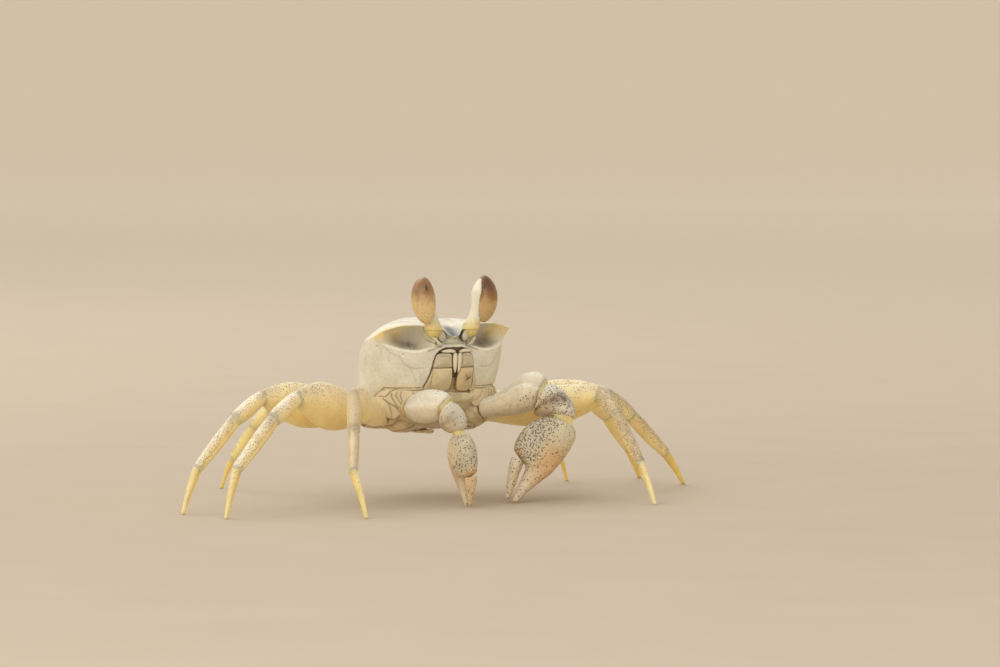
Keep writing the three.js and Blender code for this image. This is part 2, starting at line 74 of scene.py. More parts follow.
# %% [markdown]
# ## The body's own axes
# The crab is symmetric, so its face is easiest to describe from a point on its midline: x is outwards to its
# left, y is backwards and z is up, in millimetres. The solid of the carapace says where that point is.

# %% Find the midline
MM = 0.001
CARAPACE_FRONT = -13.1  # y of the tip of the rostrum, in the body's own axes
carapace_low, carapace_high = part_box("carapace")
BODY = np.array([(carapace_low.x + carapace_high.x) / 2 / MM, carapace_low.y / MM - CARAPACE_FRONT, 0.0])
SIDES = (("r", -1), ("l", 1))  # the crab's right and left, and the sign that x has there
print("the body's own axes start at", BODY.round(3), "mm")


def ease(low, high, value):
    """0 below low, 1 above high, and a smooth rise between them."""
    share = np.clip((np.asarray(value, float) - low) / (high - low), 0, 1)
    return share * share * (3 - 2 * share)


def blend(a, b, share):
    return a + (b - a) * share


def bump(distance, width):
    """1 where the distance is 0, falling smoothly to almost nothing at twice the width."""
    return np.exp(-((distance / width) ** 2))


def unit(vectors):
    """The same vectors, each with a length of 1."""
    return vectors / np.linalg.norm(vectors, axis=-1, keepdims=True)


def wrapped(angle):
    """The same angle, from minus half a turn to half a turn."""
    return (angle + math.pi) % (2 * math.pi) - math.pi


# %% [markdown]
# ## Rough and smooth randomness
# Shell is never even. A small block of seeded random numbers, read smoothly at any point and any size, gives
# the granules and mottles their irregular amounts, the same each time the lesson is run.

# %% Seeded mottle
LATTICE_SIZE = 32
LATTICE = np.random.default_rng(7).random((LATTICE_SIZE,) * 3)


def mottle(points, size):
    """Smooth random values from 0 to 1 that change over about size mm."""
    scaled = points / size
    base = np.floor(scaled).astype(int)
    share = scaled - base
    share = share * share * (3 - 2 * share)
    total = np.zeros(points.shape[:-1])
    for corner in np.ndindex(2, 2, 2):
        weight = np.prod(np.where(np.array(corner), share, 1 - share), axis=-1)
        cell = (base + np.array(corner)) % LATTICE_SIZE
        total += weight * LATTICE[cell[..., 0], cell[..., 1], cell[..., 2]]
    return total


# %% [markdown]
# ## From the rings of a solid to a smooth plate
# Each limb plate in the frame is a stack of rings with a fan of triangles on both ends. The middle of a fan
# has the most neighbours, so it is easy to find, and the rings follow it one after another. A smooth surface
# drawn through those rings keeps the solid's exact size, which subdividing the coarse solid would not.

# %% Read the rings back


def rings_of(node, near):
    """Rings of a plate's solid in mm, starting at the end nearer the point near, as rings x sides x 3."""
    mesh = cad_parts[node].data
    places = np.array([v.co for v in mesh.vertices]) / MM
    points, index = np.unique(places.round(4), axis=0, return_inverse=True)
    index = index.ravel()
    linked = [set() for _ in points]
    for face in mesh.polygons:
        corners = [index[v] for v in face.vertices]
        for a in corners:
            linked[a].update(b for b in corners if b != a)
    poles = sorted(range(len(points)), key=lambda i: -len(linked[i]))[:2]
    first = min(poles, key=lambda i: np.linalg.norm(points[i] - near))
    last = next(i for i in poles if i != first)
    seen, level, levels = {first}, {first}, []
    while level:
        level = {b for a in level for b in linked[a]} - seen
        seen |= level
        if level and last not in level:
            levels.append(level)
    rings = []
    for level in levels:
        start = min(level)
        loop, before = [start], None
        while True:
            ahead = [b for b in linked[loop[-1]] if b in level and b != before and b not in loop[1:]]
            ahead = [b for b in ahead if b != start or len(loop) == len(level)]
            if not ahead or ahead[0] == start:
                break
            before = loop[-1]
            loop.append(ahead[0])
        rings.append(points[loop])
    return np.array(aligned(rings))


def aligned(rings):
    """The same rings, each turned and started so that its points lie beside those of the ring before."""

    def shape(ring):
        centred = ring - ring.mean(axis=0)
        return centred / np.linalg.norm(centred, axis=1).mean()

    out = [rings[0]]
    for ring in rings[1:]:
        choices = [np.roll(way, turn, axis=0) for way in (ring, ring[::-1]) for turn in range(len(ring))]
        out.append(min(choices, key=lambda c: np.abs(shape(c) - shape(out[-1])).sum()))
    return out


# %% [markdown]
# ## A smooth surface through the rings
# The rings are joined by curves that pass through every point: closed curves around the plate, and open ones
# along it. Each row of the surface is a place along the plate and an inset towards its middle, so the
# ends can be rounded into lips as real plates are.

# %% Curves through points


def weights(places, count, closed):
    """A matrix that takes count evenly spaced knots to the values of a smooth curve at places, 0 to 1."""
    matrix = np.zeros((len(places), count))
    for row, place in enumerate(places):
        spans = count if closed else count - 1
        at = place * spans
        i = int(min(spans - 1, math.floor(at)))
        u = at - i
        parts = (
            -0.5 * u + u * u - 0.5 * u**3,
            1 - 2.5 * u * u + 1.5 * u**3,
            0.5 * u + 2 * u * u - 1.5 * u**3,
            -0.5 * u * u + 0.5 * u**3,
        )
        for k, part in zip(range(i - 1, i + 3), parts):
            matrix[row, k % count if closed else max(0, min(count - 1, k))] += part
    return matrix


def through(knots, places):
    """Values at places from 0 to 1 of a smooth open curve through evenly spaced knots."""
    knots = np.asarray(knots, float)
    return weights(np.atleast_1d(places), len(knots), closed=False) @ knots


def loft_rows(length, lip, step):
    """Rows from end to end of a plate: places along it from 0 to 1, and insets in mm that round both ends."""
    corner = np.radians(np.linspace(0, 90, 6))
    places = lip * (1 - np.cos(corner)) / length
    insets = lip * (1 - np.sin(corner))
    middle = np.linspace(places[-1], 1 - places[-1], max(4, round(length / step)))[1:-1]
    along = np.concatenate([places, middle, 1 - places[::-1]])
    inset = np.concatenate([insets, np.zeros(len(middle)), insets[::-1]])
    return along, inset


def loft(rings, around=56, lip=0.35, step=0.3):
    """(grid of points, places along) of the smooth surface through the rings, with rounded ends."""
    spine = rings.mean(axis=1)
    length = np.linalg.norm(np.diff(spine, axis=0), axis=1).sum()
    along, inset = loft_rows(length, lip, step)
    fine = np.einsum("mk,kns->mns", weights(along, len(rings), False), rings)
    fine = np.einsum("an,mns->mas", weights(np.arange(around) / around, rings.shape[1], True), fine)
    centre = fine.mean(axis=1, keepdims=True)
    reach = np.linalg.norm(fine - centre, axis=2, keepdims=True)
    kept = 1 - np.minimum(0.9, inset[:, None, None] / reach.mean(axis=1, keepdims=True))
    return centre + (fine - centre) * kept, along


def normals_of(grid):
    """Outward unit normals of a grid of rings."""
    around = np.roll(grid, -1, axis=1) - np.roll(grid, 1, axis=1)
    along = np.gradient(grid, axis=0)
    normal = np.cross(around, along)
    normal /= np.linalg.norm(normal, axis=2, keepdims=True) + 1e-9
    out = grid - grid.mean(axis=(0, 1))
    return normal if (normal * out).sum() > 0 else -normal


# %% [markdown]
# ## Shaping a primitive into a plate
# Every plate starts as Blender's own UV sphere, because it has what a plate needs: rings, two poles and a
# clean UV map. Its rings are then moved to the rows of the plate. Painted values, such as stains, painted
# shade, painted highlight and how yellow a place is, are kept on the points as named attributes that the
# materials read.

# %% Make a piece from rows
pieces = {}


def make_piece(name, grid, slot, stands_for, marks, ends=None):
    """A closed piece whose rings lie on the rows of grid, in mm, with each mark painted on its points."""
    rows, columns = grid.shape[:2]
    bpy.ops.object.select_all(action="DESELECT")
    bpy.ops.mesh.primitive_uv_sphere_add(segments=columns, ring_count=rows + 1)
    piece = bpy.context.object
    piece.name = piece.data.name = name
    count = len(piece.data.vertices)
    ball = np.empty(count * 3)
    piece.data.vertices.foreach_get("co", ball)
    ball = ball.reshape(-1, 3)
    row = np.rint(np.arccos(np.clip(ball[:, 2], -1, 1)) / math.pi * (rows + 1)).astype(int)
    column = np.rint(np.arctan2(ball[:, 1], ball[:, 0]) / (2 * math.pi) * columns).astype(int) % columns
    first, last = ends or (grid[0].mean(axis=0), grid[-1].mean(axis=0))
    inner = np.clip(row - 1, 0, rows - 1)
    place = grid[inner, column]
    place[row == 0] = first
    place[row == rows + 1] = last
    place[:, 2] = place[:, 2].clip(0)
    piece.data.vertices.foreach_set("co", (place * MM).ravel())
    for label, values in marks.items():
        paint(piece, label, np.clip(np.broadcast_to(values, (rows, columns))[inner, column], 0, 1))
    finish_piece(piece, slot, stands_for)
    return piece


def paint(piece, label, values):
    """Keeps one value for each point of a piece under a name."""
    layer = piece.data.attributes.new(label, "FLOAT", "POINT")
    layer.data.foreach_set("value", np.ascontiguousarray(values, dtype=np.float32).ravel())


def signed_volume(mesh):
    mesh.calc_loop_triangles()
    points = np.array([v.co for v in mesh.vertices])
    corners = points[np.array([t.vertices[:] for t in mesh.loop_triangles])]
    return float(np.einsum("ij,ij->i", corners[:, 0], np.cross(corners[:, 1], corners[:, 2])).sum() / 6)


def finish_piece(piece, slot, stands_for):
    """Faces outwards, smooth shading, and the place of the piece in the frame."""
    if signed_volume(piece.data) < 0:
        piece.data.flip_normals()
    piece.data.polygons.foreach_set("use_smooth", [True] * len(piece.data.polygons))
    piece.data.update()
    piece.data.materials.clear()
    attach(piece, "root")
    if stands_for:
        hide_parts(*stands_for)
    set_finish(piece, slot)
    pieces[piece.name] = piece


# %% [markdown]
# ## Camera, floor and light
# The crab is seen from its right front, from just above the sand, with a long lens. The floor turns up into
# a round wall far away, so that every view has the same plain pale ground. The light is soft, as in open
# shade near bright sand: a broad light from above and behind, a broad warm one from the front, and a low
# warm glow.

# %% Camera
AZIMUTH = math.radians(30)
ELEVATION = math.radians(3.2)
AIM = Vector((13.70, -3.72, 31.20)) * MM
DISTANCE = 1.0
level = math.cos(ELEVATION)
back = Vector((-math.sin(AZIMUTH) * level, -math.cos(AZIMUTH) * level, math.sin(ELEVATION)))
camera_data = bpy.data.cameras.new("camera")
camera_data.lens = 187.2
camera_data.sensor_width = 36
camera_data.clip_start = 0.05
camera = bpy.data.objects.new("camera", camera_data)
camera.location = AIM + back * DISTANCE
camera.rotation_mode = "QUATERNION"
camera.rotation_quaternion = (-back).to_track_quat("-Z", "Y")
bpy.context.scene.collection.objects.link(camera)
bpy.context.scene.camera = camera
print("camera at", [round(c, 3) for c in camera.location])

# %% Floor that turns up into a wall
FLOOR_RADIUS = 2.6
WALL_BEND = 0.9  # radius of the curve from the floor up into the wall
BEND_STEPS = 8
bpy.ops.object.select_all(action="DESELECT")
bpy.ops.mesh.primitive_circle_add(vertices=128, radius=FLOOR_RADIUS, fill_type="NGON")
floor = bpy.context.object
floor.name = floor.data.name = "floor"
bpy.ops.object.mode_set(mode="EDIT")
bpy.ops.mesh.select_all(action="SELECT")
bpy.ops.mesh.select_mode(type="EDGE")
bpy.ops.mesh.region_to_loop()
turns = [math.radians(step * 90 / BEND_STEPS) for step in range(BEND_STEPS + 1)]
for before, after in zip(turns, turns[1:]):
    rise = WALL_BEND * (math.cos(before) - math.cos(after))
    grow = (FLOOR_RADIUS + WALL_BEND * math.sin(after)) / (FLOOR_RADIUS + WALL_BEND * math.sin(before))
    bpy.ops.mesh.extrude_edges_move(TRANSFORM_OT_translate={"value": (0, 0, rise)})
    bpy.ops.transform.resize(value=(grow, grow, 1))
bpy.ops.object.mode_set(mode="OBJECT")
bpy.ops.object.shade_smooth()
floor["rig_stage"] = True
print("floor with", len(floor.data.polygons), "faces")

# %% Lights and world


def soft_light(name, azimuth, elevation, distance, size, power, colour):
    """A square soft light that looks at the crab from an angle round it and above the floor, in degrees."""
    data = bpy.data.lights.new(name, "AREA")
    data.size = size
    data.energy = power
    data.color = colour
    light = bpy.data.objects.new(name, data)
    a, e = math.radians(azimuth), math.radians(elevation)
    direction = Vector((math.sin(a) * math.cos(e), -math.cos(a) * math.cos(e), math.sin(e)))
    light.location = Vector((0, 0, 0.02)) + direction * distance
    light.rotation_mode = "QUATERNION"
    light.rotation_quaternion = (-direction).to_track_quat("-Z", "Y")
    bpy.context.scene.collection.objects.link(light)


soft_light("sky_behind", -165, 56, 0.9, 0.7, 2.9, (1.0, 0.97, 0.92))
soft_light("fill_front", -58, 26, 1.0, 0.8, 3.1, (1.0, 0.96, 0.90))
soft_light("sand_glow", -20, 3, 1.2, 0.3, 1.1, (1.0, 0.95, 0.84))
world = bpy.data.worlds.new("studio")
world.use_nodes = True
sky = world.node_tree.nodes["Background"]
sky.inputs["Color"].default_value = (0.95, 0.93, 0.90, 1)
sky.inputs["Strength"].default_value = 0.82
bpy.context.scene.world = world
bpy.context.scene.view_settings.view_transform = "Standard"
print("three soft lights and a pale sky")

# %% [markdown]
# ## Carapace
# The back, the face and the cheeks of a crab are one shield. It could be sculpted freely, but here its two
# guiding lines are written down, the rim of the back and the ridge below it, and every other point is
# placed between them: the crown, the hollows where the eyes fold away, and the bulging walls. That keeps
# the shield exactly where its solid is and lets the fine relief follow the same lines.

# %% Guiding lines of the carapace
CROWN = np.array([0, -0.5, 34.4])
FACE = np.array([  # rim and ridge at the front, from the midline to the corner tooth: out, forward, up
    [[0.0, 13.1, 31.2], [0.0, 12.9, 29.7]],
    [[1.1, 12.95, 31.6], [1.5, 12.9, 29.7]],
    [[2.0, 12.45, 32.6], [3.1, 12.8, 29.5]],
    [[3.9, 11.6, 33.1], [4.8, 12.6, 29.2]],
    [[6.8, 11.3, 33.6], [7.5, 12.0, 28.6]],
    [[10.6, 10.8, 33.5], [10.9, 10.6, 29.1]],
    [[14.0, 9.6, 32.5], [13.2, 8.2, 30.1]],
])
FLANK = np.array([  # and along the side to the middle of the rear
    [[14.0, 9.6, 32.5], [13.2, 8.2, 30.1]],
    [[14.0, 6.8, 31.4], [13.8, 5.6, 29.6]],
    [[13.2, 1.6, 30.4], [13.5, 1.2, 28.6]],
    [[10.6, -3.6, 29.8], [11.2, -3.8, 28.0]],
    [[8.1, -8.2, 29.3], [8.6, -8.4, 27.5]],
    [[5.9, -11.6, 28.8], [6.2, -12.0, 27.0]],
    [[0.0, -12.6, 28.7], [0.0, -13.0, 26.9]],
])
FACE_COLUMNS = 150
FLANK_COLUMNS = 70
SOCKET_DEPTH = 3.1


def through_table(table, places):
    flat = table.reshape(len(table), -1)
    return through(flat, places).reshape(len(places), *table.shape[1:])


front = np.linspace(0, 1, FACE_COLUMNS, endpoint=False)
side = np.linspace(0, 1, FLANK_COLUMNS + 1) ** 1.5


def guide_half():
    """The rim, the ridge and the way outwards of one half of the shield, column by column."""
    flip = [1, -1, 1]
    step = 0.03
    parts = []
    for table, places in ((FACE, front), (FLANK, side)):
        lines = through_table(table, places) * flip
        ahead = through_table(table, (places + step).clip(0, 1))[:, 1] * flip
        behind = through_table(table, (places - step).clip(0, 1))[:, 1] * flip
        along = ahead - behind
        outward = np.stack([along[:, 1], -along[:, 0], 0 * along[:, 0]], axis=1)
        parts.append((lines[:, 0], lines[:, 1], unit(outward)))
    return [np.concatenate(column) for column in zip(*parts)]


def softened(line, spread):
    """A half line blurred along its columns, as if the other half were there too."""
    flip = [-1, 1, 1]
    whole = np.concatenate([line[spread:0:-1] * flip, line, line[-2 : -2 - spread : -1] * flip])
    kernel = np.hanning(2 * spread + 3)[1:-1]
    return np.stack([np.convolve(whole[:, k], kernel / kernel.sum(), "valid") for k in range(3)], axis=1)


WALL_BLUR = 22  # columns
rim, ridge, outward = guide_half()
wall_line = softened(ridge, WALL_BLUR)
wall_outward = unit(softened(outward, WALL_BLUR))
print("half of the carapace has", len(rim), "columns")

# %% Rows of the carapace from the crown to the lower edge
TOP_ROWS = 44
SOCKET_ROWS = 26
WALL_ROWS = 84


def socket_profile(share):
    """How deep an eye socket is, from 0 at its upper edge to 1 in the middle and 0 at its lower edge."""
    return max(0, math.sin(math.pi * share)) ** 0.6


forward = -rim[:, 1]
in_socket = ease(2.9, 4.6, rim[:, 0]) * (1 - ease(12.2, 13.9, rim[:, 0])) * ease(5, 9, forward)
under_rostrum = 1 - ease(2.2, 3.6, rim[:, 0] + 20.0 * (forward < 0))
hollow = SOCKET_DEPTH * in_socket + 1.2 * under_rostrum
lower_edge = 18.9 + 1.0 * ease(3, 7.5, forward) + 1.3 * ease(7.3, 9.2, forward)
at_front = ease(0, 6, forward)
rows, row_kind = [], []
for reach in np.sin(np.linspace(0.02, 1, TOP_ROWS) * math.pi / 2):
    row = blend(CROWN, rim, reach)
    row[:, 2] = rim[:, 2] + (CROWN[2] - rim[:, 2]) * max(0, 1 - reach**2.8) ** 1.05
    rows.append(row)
    row_kind.append(("back", reach))
for s in np.linspace(0, 1, SOCKET_ROWS + 1)[1:]:
    rows.append(blend(rim, ridge, s) - outward * (hollow * socket_profile(s))[:, None])
    row_kind.append(("socket", s))
for s in np.linspace(0, 1, WALL_ROWS + 1)[1:]:
    soft = ease(0, 0.45, s)
    row = blend(ridge, wall_line, soft)
    row[:, 2] = blend(ridge[:, 2], lower_edge, s)
    bulge = blend(s**0.7 - 0.9 * s**8, -1.7 * s**2.2, at_front)
    rows.append(row + blend(outward, wall_outward, soft) * bulge[:, None])
    row_kind.append(("wall", s))
edge_line = rows[-1].copy()
for share in (0.99, 0.96, 0.88, 0.74):
    row = edge_line * share
    row[:, 2] = lower_edge + 0.3 * (1 - share) / 0.26
    rows.append(row)
    row_kind.append(("under", share))
half = np.array(rows)
mirror = half[:, -2:0:-1] * [-1, 1, 1]
shield = np.concatenate([half, mirror], axis=1)
kinds = np.array([k for k, _ in row_kind])
shares = np.array([s for _, s in row_kind])


def both_sides(values):
    """Values of the half columns, repeated for the mirrored half."""
    return np.concatenate([values, values[-2:0:-1]])


for _ in range(3):  # soften the two hard lines
    shield[1:-1] = 0.25 * shield[:-2] + 0.5 * shield[1:-1] + 0.25 * shield[2:]
print("carapace grid", shield.shape)

# %% [markdown]
# ## Relief of the face
# The sutures between the plates of the face are real grooves. Each one is a line of points across the face,
# and every point of the shield sinks and darkens by how near it is to a line. The mouth frame is a
# recess, painted dark inside as shade, so that the mouth plates stand in it with a dark gap all round.

# %% Lines and outlines on the face


def line_distance(x, z, points):
    """Distance in mm from places on the face to a line through points."""
    best = np.full(x.shape, 99.0)
    for (x0, z0), (x1, z1) in zip(points, points[1:]):
        run, rise = x1 - x0, z1 - z0
        share = (((x - x0) * run + (z - z0) * rise) / (run * run + rise * rise)).clip(0, 1)
        best = np.minimum(best, np.hypot(x - x0 - share * run, z - z0 - share * rise))
    return best


MOUTH_LOW, MOUTH_HIGH = 20.6, 29.3


def mouth_half_width(z):
    """Half the width of the mouth frame at a height."""
    t = np.clip((np.asarray(z, float) - MOUTH_LOW) / (MOUTH_HIGH - MOUTH_LOW), 0, 1)
    taper = blend(4.1, 6.2, (1 - t) ** 2.2)
    shoulder = np.sqrt(np.maximum(0, 1 - ((t - 0.55) / 0.47).clip(0) ** 3.6))
    return taper * shoulder * (0.88 + 0.12 * ease(0, 0.14, t))


SUTURES = [  # width in mm, darkness, and points as distance from the midline and height
    (0.12, 0.26, [(10.7, 27.9), (9.8, 26.3), (8.7, 25.55), (7.4, 25.4), (6.1, 25.5)]),
    (0.10, 0.20, [(8.7, 25.5), (7.8, 23.9), (7.2, 22.6)]),
    (0.14, 0.22, [(10.9, 27.8), (12.0, 28.4), (12.9, 29.6)]),
    (0.14, 0.55, [(2.7, 29.5), (3.6, 29.3), (4.4, 28.95), (5.3, 28.75)]),
    (0.11, 0.65, [(2.9, 29.6), (3.3, 30.1), (3.4, 30.9), (3.3, 31.6)]),
    (0.10, 0.60, [(3.5, 30.0), (4.1, 30.2), (4.3, 30.8)]),
    (0.13, 0.65, [(0.5, 31.0), (0.8, 30.85), (1.1, 31.05)]),
    (0.10, 0.30, [(0.0, 30.0), (1.0, 30.1), (1.9, 29.9)]),
]
x, y, z = shield[..., 0], shield[..., 1], shield[..., 2]
aside = np.abs(x)
facing = (y < -6) & (kinds[:, None] != "back")
groove = np.zeros(x.shape)
ink = np.zeros(x.shape)
for width, darkness, points in SUTURES:
    away = line_distance(aside, z, points)
    groove = np.maximum(groove, bump(away, width * 1.6) * darkness * facing)
    ink = np.maximum(ink, bump(away, width) * darkness * facing)
walls = (kinds == "wall")[:, None]
mouth_edge = mouth_half_width(z) + 0.10 - aside
# The mouth recess is painted dark: painted shade in the gap round the mouth plates.
in_mouth = ease(-0.06, 0.10, mouth_edge) * (z < MOUTH_HIGH) * (y < -8) * walls
in_front = (z < MOUTH_HIGH + 0.1) * (y < -8) * (kinds != "back")[:, None]
frame_line = bump(mouth_edge, 0.10) * in_front
above_edge = z - both_sides(lower_edge)
lower_suture = bump(above_edge - 0.42, 0.10) * walls * both_sides(at_front)
print("sutures on the face:", len(SUTURES), "on each side")

# %% Carve the shield
MOUTH_RECESS = 0.65
RIDGE_CREST = {-2: 0.35, -1: 0.8, 0: 1.0, 1: 0.9, 2: 0.6, 3: 0.3}  # height by rows away from the ridge
RIM_CREST = {-1: 0.5, 0: 1.0, 1: 0.6}
outward_all = normals_of(shield)
socket_all = both_sides(in_socket)
crest = np.zeros(x.shape)
for row, height in RIDGE_CREST.items():
    crest[TOP_ROWS + SOCKET_ROWS - 1 + row] = height * (0.25 + 0.75 * socket_all)
for row, height in RIM_CREST.items():
    crest[TOP_ROWS - 1 + row] = 0.55 * height * np.maximum(socket_all, 0.5 * both_sides(at_front))
beads = 0.75 + 0.5 * mottle(shield, 0.42)
back_rows = (kinds == "back")[:, None]
lobes = (
    bump(aside - 3.2 - 0.10 * (y + 2), 0.7) * ease(-10, -5, y) * (1 - ease(5, 9, y))
    + 0.7 * bump(y - 1.0, 0.8) * (1 - ease(2.6, 4.4, aside))
    + 0.5 * bump(aside - 8.0 - 0.2 * y, 0.8) * ease(-8, -4, y) * (1 - ease(2, 6, y))
) * back_rows
granules = ease(0.55, 0.95, mottle(shield, 0.38)) * ease(0.3, 0.75, np.hypot(x / 14, y / 13))
relief = (  # mm
    0.20 * crest * beads
    - 0.14 * groove
    - 0.12 * lower_suture
    - 0.22 * lobes
    + 0.05 * granules * (kinds != "socket")[:, None]
    + 0.05 * (mottle(shield, 3.0) - 0.5)
)
shield = shield + outward_all * relief[..., None]
shield[..., 1] += MOUTH_RECESS * in_mouth
lowest = shield[-1].mean(axis=0) * [1, 1, 0] + [0, 0, 19.6]
print("relief from", relief.min().round(2), "to", relief.max().round(2), "mm")

# %% Paint the shield
is_socket = kinds == "socket"
depth_in_socket = np.outer([socket_profile(s) for s in shares] * is_socket, socket_all)
low_share = (shares * is_socket)[:, None]
across_socket = ((aside - 3.4) / 9.8).clip(0, 1)
# Dark streaks run down and in towards one low point of each socket.
turn_to_low = np.arctan2(z - 28.2, (aside - 8.6) * 0.8)
streaks = ease(0.50, 0.72, mottle(np.stack([turn_to_low * 12.0, 0.6 * z, 0 * x], axis=-1), 1.0))
# Painted shade: the deep, low part of each socket turns blue-grey.
shadowed = depth_in_socket * ease(0.34, 0.86, low_share + 0.20 * (mottle(shield, 0.9) - 0.5))
inner_part = bump(aside - 8.4, 2.7)
see_through = depth_in_socket * ease(0.46, 0.76, across_socket) * (1 - 0.7 * ease(0.4, 0.85, low_share))
# Painted shade: the deeper and lower a place lies in its socket, the darker it is painted.
socket_shade = depth_in_socket * ease(0.05, 0.5, low_share) * bump(aside - 8.8, 4.0)
rim_reach = np.where(kinds == "back", shares, 0)[:, None]
marbled = back_rows * ease(0.42, 0.70, mottle(shield, 2.4)) * (1 - ease(0.55, 0.90, rim_reach))
thin_edge = ease(0.80, 0.97, rim_reach) * ease(7.8, 10.0, aside) * (y < -5.5) * back_rows
rostrum = bump(x, 1.5) * ease(31.1, 31.5, z) * (1 - ease(32.7, 33.5, z)) * (y < -9)
tooth = ease(12.2, 13.7, aside) * ease(30.4, 31.6, z) * (y < -5)
orbit_lip = crest * ease(0.2, 0.8, socket_all) * (z < 31.5)
# The stain mark here holds real sutures and smudges, and also painted shade in the mouth recess and sockets.
shield_marks = {
    "stain": np.maximum.reduce([
        ink, 0.80 * in_mouth, 0.50 * frame_line, 0.95 * shadowed * streaks * inner_part, 0.8 * lower_suture,
        0.42 * socket_shade, 0.12 * marbled, 0.30 * lobes,
    ]),
    "cool": 1.0 * shadowed * inner_part + 0.9 * rostrum,
    "warm": 0.95 * see_through + 0.8 * tooth + 0.75 * thin_edge + 0.40 * bump(above_edge, 0.9),
    "lit": back_rows * (0.75 - 0.6 * thin_edge) + 0.30 * ease(29, 31, z) * walls
    + 0.9 * orbit_lip + 0.25 * granules,
    "pits": 0.05 * ease(5, 13, aside) * ease(20, 24, z) * (1 - depth_in_socket) + 0.12 * marbled,
}
carapace = make_piece(
    "carapace_shell", shield + BODY, "shell", ["carapace"], shield_marks, (CROWN + BODY, lowest + BODY)
)
print("carapace:", len(carapace.data.polygons), "faces")

# %% [markdown]
# ## Mouth plates
# Two pairs of doors close a crab's mouth. Each side has a broad lower plate, a smaller one on top of it, a
# narrow strip along the outside and a little jointed palp folded into the gap in the middle. Every door
# is a cushion: an outline filled with a gently domed front and a rounded edge.

# %% Cushions from an outline


def face_y(z):
    """How far back the middle of the face lies at a height: upright above, leaning back below."""
    s = ((29.4 - z) / 8.2).clip(0, 1)
    return -12.9 + 1.7 * s**2.2


def closed_outline(points, count):
    return weights(np.arange(count) / count, len(points), closed=True) @ np.asarray(points, float)


def face_plane(flat):
    """The plane of the face under places given as x and z, which falls back a little to the sides."""
    return face_y(flat[:, 1]) + 0.040 * np.abs(flat[:, 0]) ** 1.7


def cushion(
    name, outline, slot, stands_for, proud, dome, marks,
    ink=None, edge_ink=0.3, side_shade=0.5, plane=face_plane,
):
    """A domed plate that stands proud of its plane, in mm, inside an outline given as x and z."""
    edge = closed_outline(outline, 96)
    centre = edge.mean(axis=0)
    reach = np.linalg.norm(edge - centre, axis=1).mean()
    thickness, lip = 1.0, min(0.16, reach * 0.3)
    steps = [(0.35, thickness), (0.75, thickness), (1.0, thickness)]
    for corner in np.radians(np.linspace(0, 90, 6)):
        steps.append((1 - lip / reach * (1 - math.cos(corner)), lip * (1 - math.sin(corner))))
    rounded = len(steps)
    steps += [(share, 0.0) for share in np.linspace(1 - lip / reach, 0.03, 30)[1:]]
    rows = []
    for i, (share, depth) in enumerate(steps):
        flat = centre + (edge - centre) * share
        rise = dome * (steps[rounded - 1][0] ** 2 - share**2) if i >= rounded else 0.0
        rows.append(np.stack([flat[:, 0], plane(flat) - proud + depth - rise, flat[:, 1]], axis=1))
    grid = np.array(rows)
    grain = mottle(grid, 0.5)
    share = np.array([share for share, _ in steps])[:, None]
    # The sides of a cushion, seen only in the gaps between plates, are darkened as painted shade.
    side = np.array([float(depth > 0.12) for _, depth in steps])[:, None]
    drawn = ink(grid) if ink else 0.0
    grid[..., 1] += 0.18 * drawn * (1 - side) - 0.04 * grain
    edge_line = edge_ink * ease(1 - 0.20 / reach, 1 - 0.05 / reach, share)
    painted = {
        "stain": np.maximum(np.maximum(edge_line, side_shade * side), drawn),
        "cool": 0.10, "warm": 0.25 * (grain > 0.6), "lit": 0.25 * (1 - share), "pits": 0.03,
    }
    return make_piece(name, grid + BODY, slot, stands_for, painted | marks)


def on_side(sign, outline):
    """An outline of the crab's left side, placed on the side that sign says."""
    return [(sign * px, z) for px, z in outline]


# %% Doors and strips of the mouth
GAP_HEIGHTS = [20.9, 22.0, 23.0, 24.2, 25.0, 26.5, 28.4]
GAP_WIDTHS = [0.95, 0.62, 0.55, 0.60, 0.95, 1.10, 1.10]


def middle(z):
    """Where the gap between the doors has its middle: they don't meet quite on the midline."""
    return np.interp(z, [21.0, 24.3, 26.0, 29.0], [0.25, 0.30, 0.50, 0.35])


def gap(z):
    """Half the width of the gap between the doors, which is wide above for the palps."""
    return np.interp(z, GAP_HEIGHTS, GAP_WIDTHS)


def strip_width(z):
    return np.interp(z, [21.0, 22.0, 23.0, 24.5, 25.6], [1.15, 0.95, 0.55, 0.18, -0.04])


def door_outline(sign, low, high, foot, head):
    """A door between two heights, with rounded corners: up the gap, over the head, down the strip."""
    heights = np.linspace(low + foot, high - head, 5)
    up = [(float(middle(z) + sign * gap(z)), z) for z in heights]
    down = [(sign * float(mouth_half_width(z) - strip_width(z) - 0.06), z) for z in heights[::-1]]
    over, under = [], []
    for share in (0.15, 0.5, 0.85):
        arc = (2 * share - 1) ** 4
        over.append((blend(up[-1][0], down[0][0], share), high - head * arc))
        under.append((blend(down[-1][0], up[0][0], share), low + foot * arc))
    return up + over + down + under


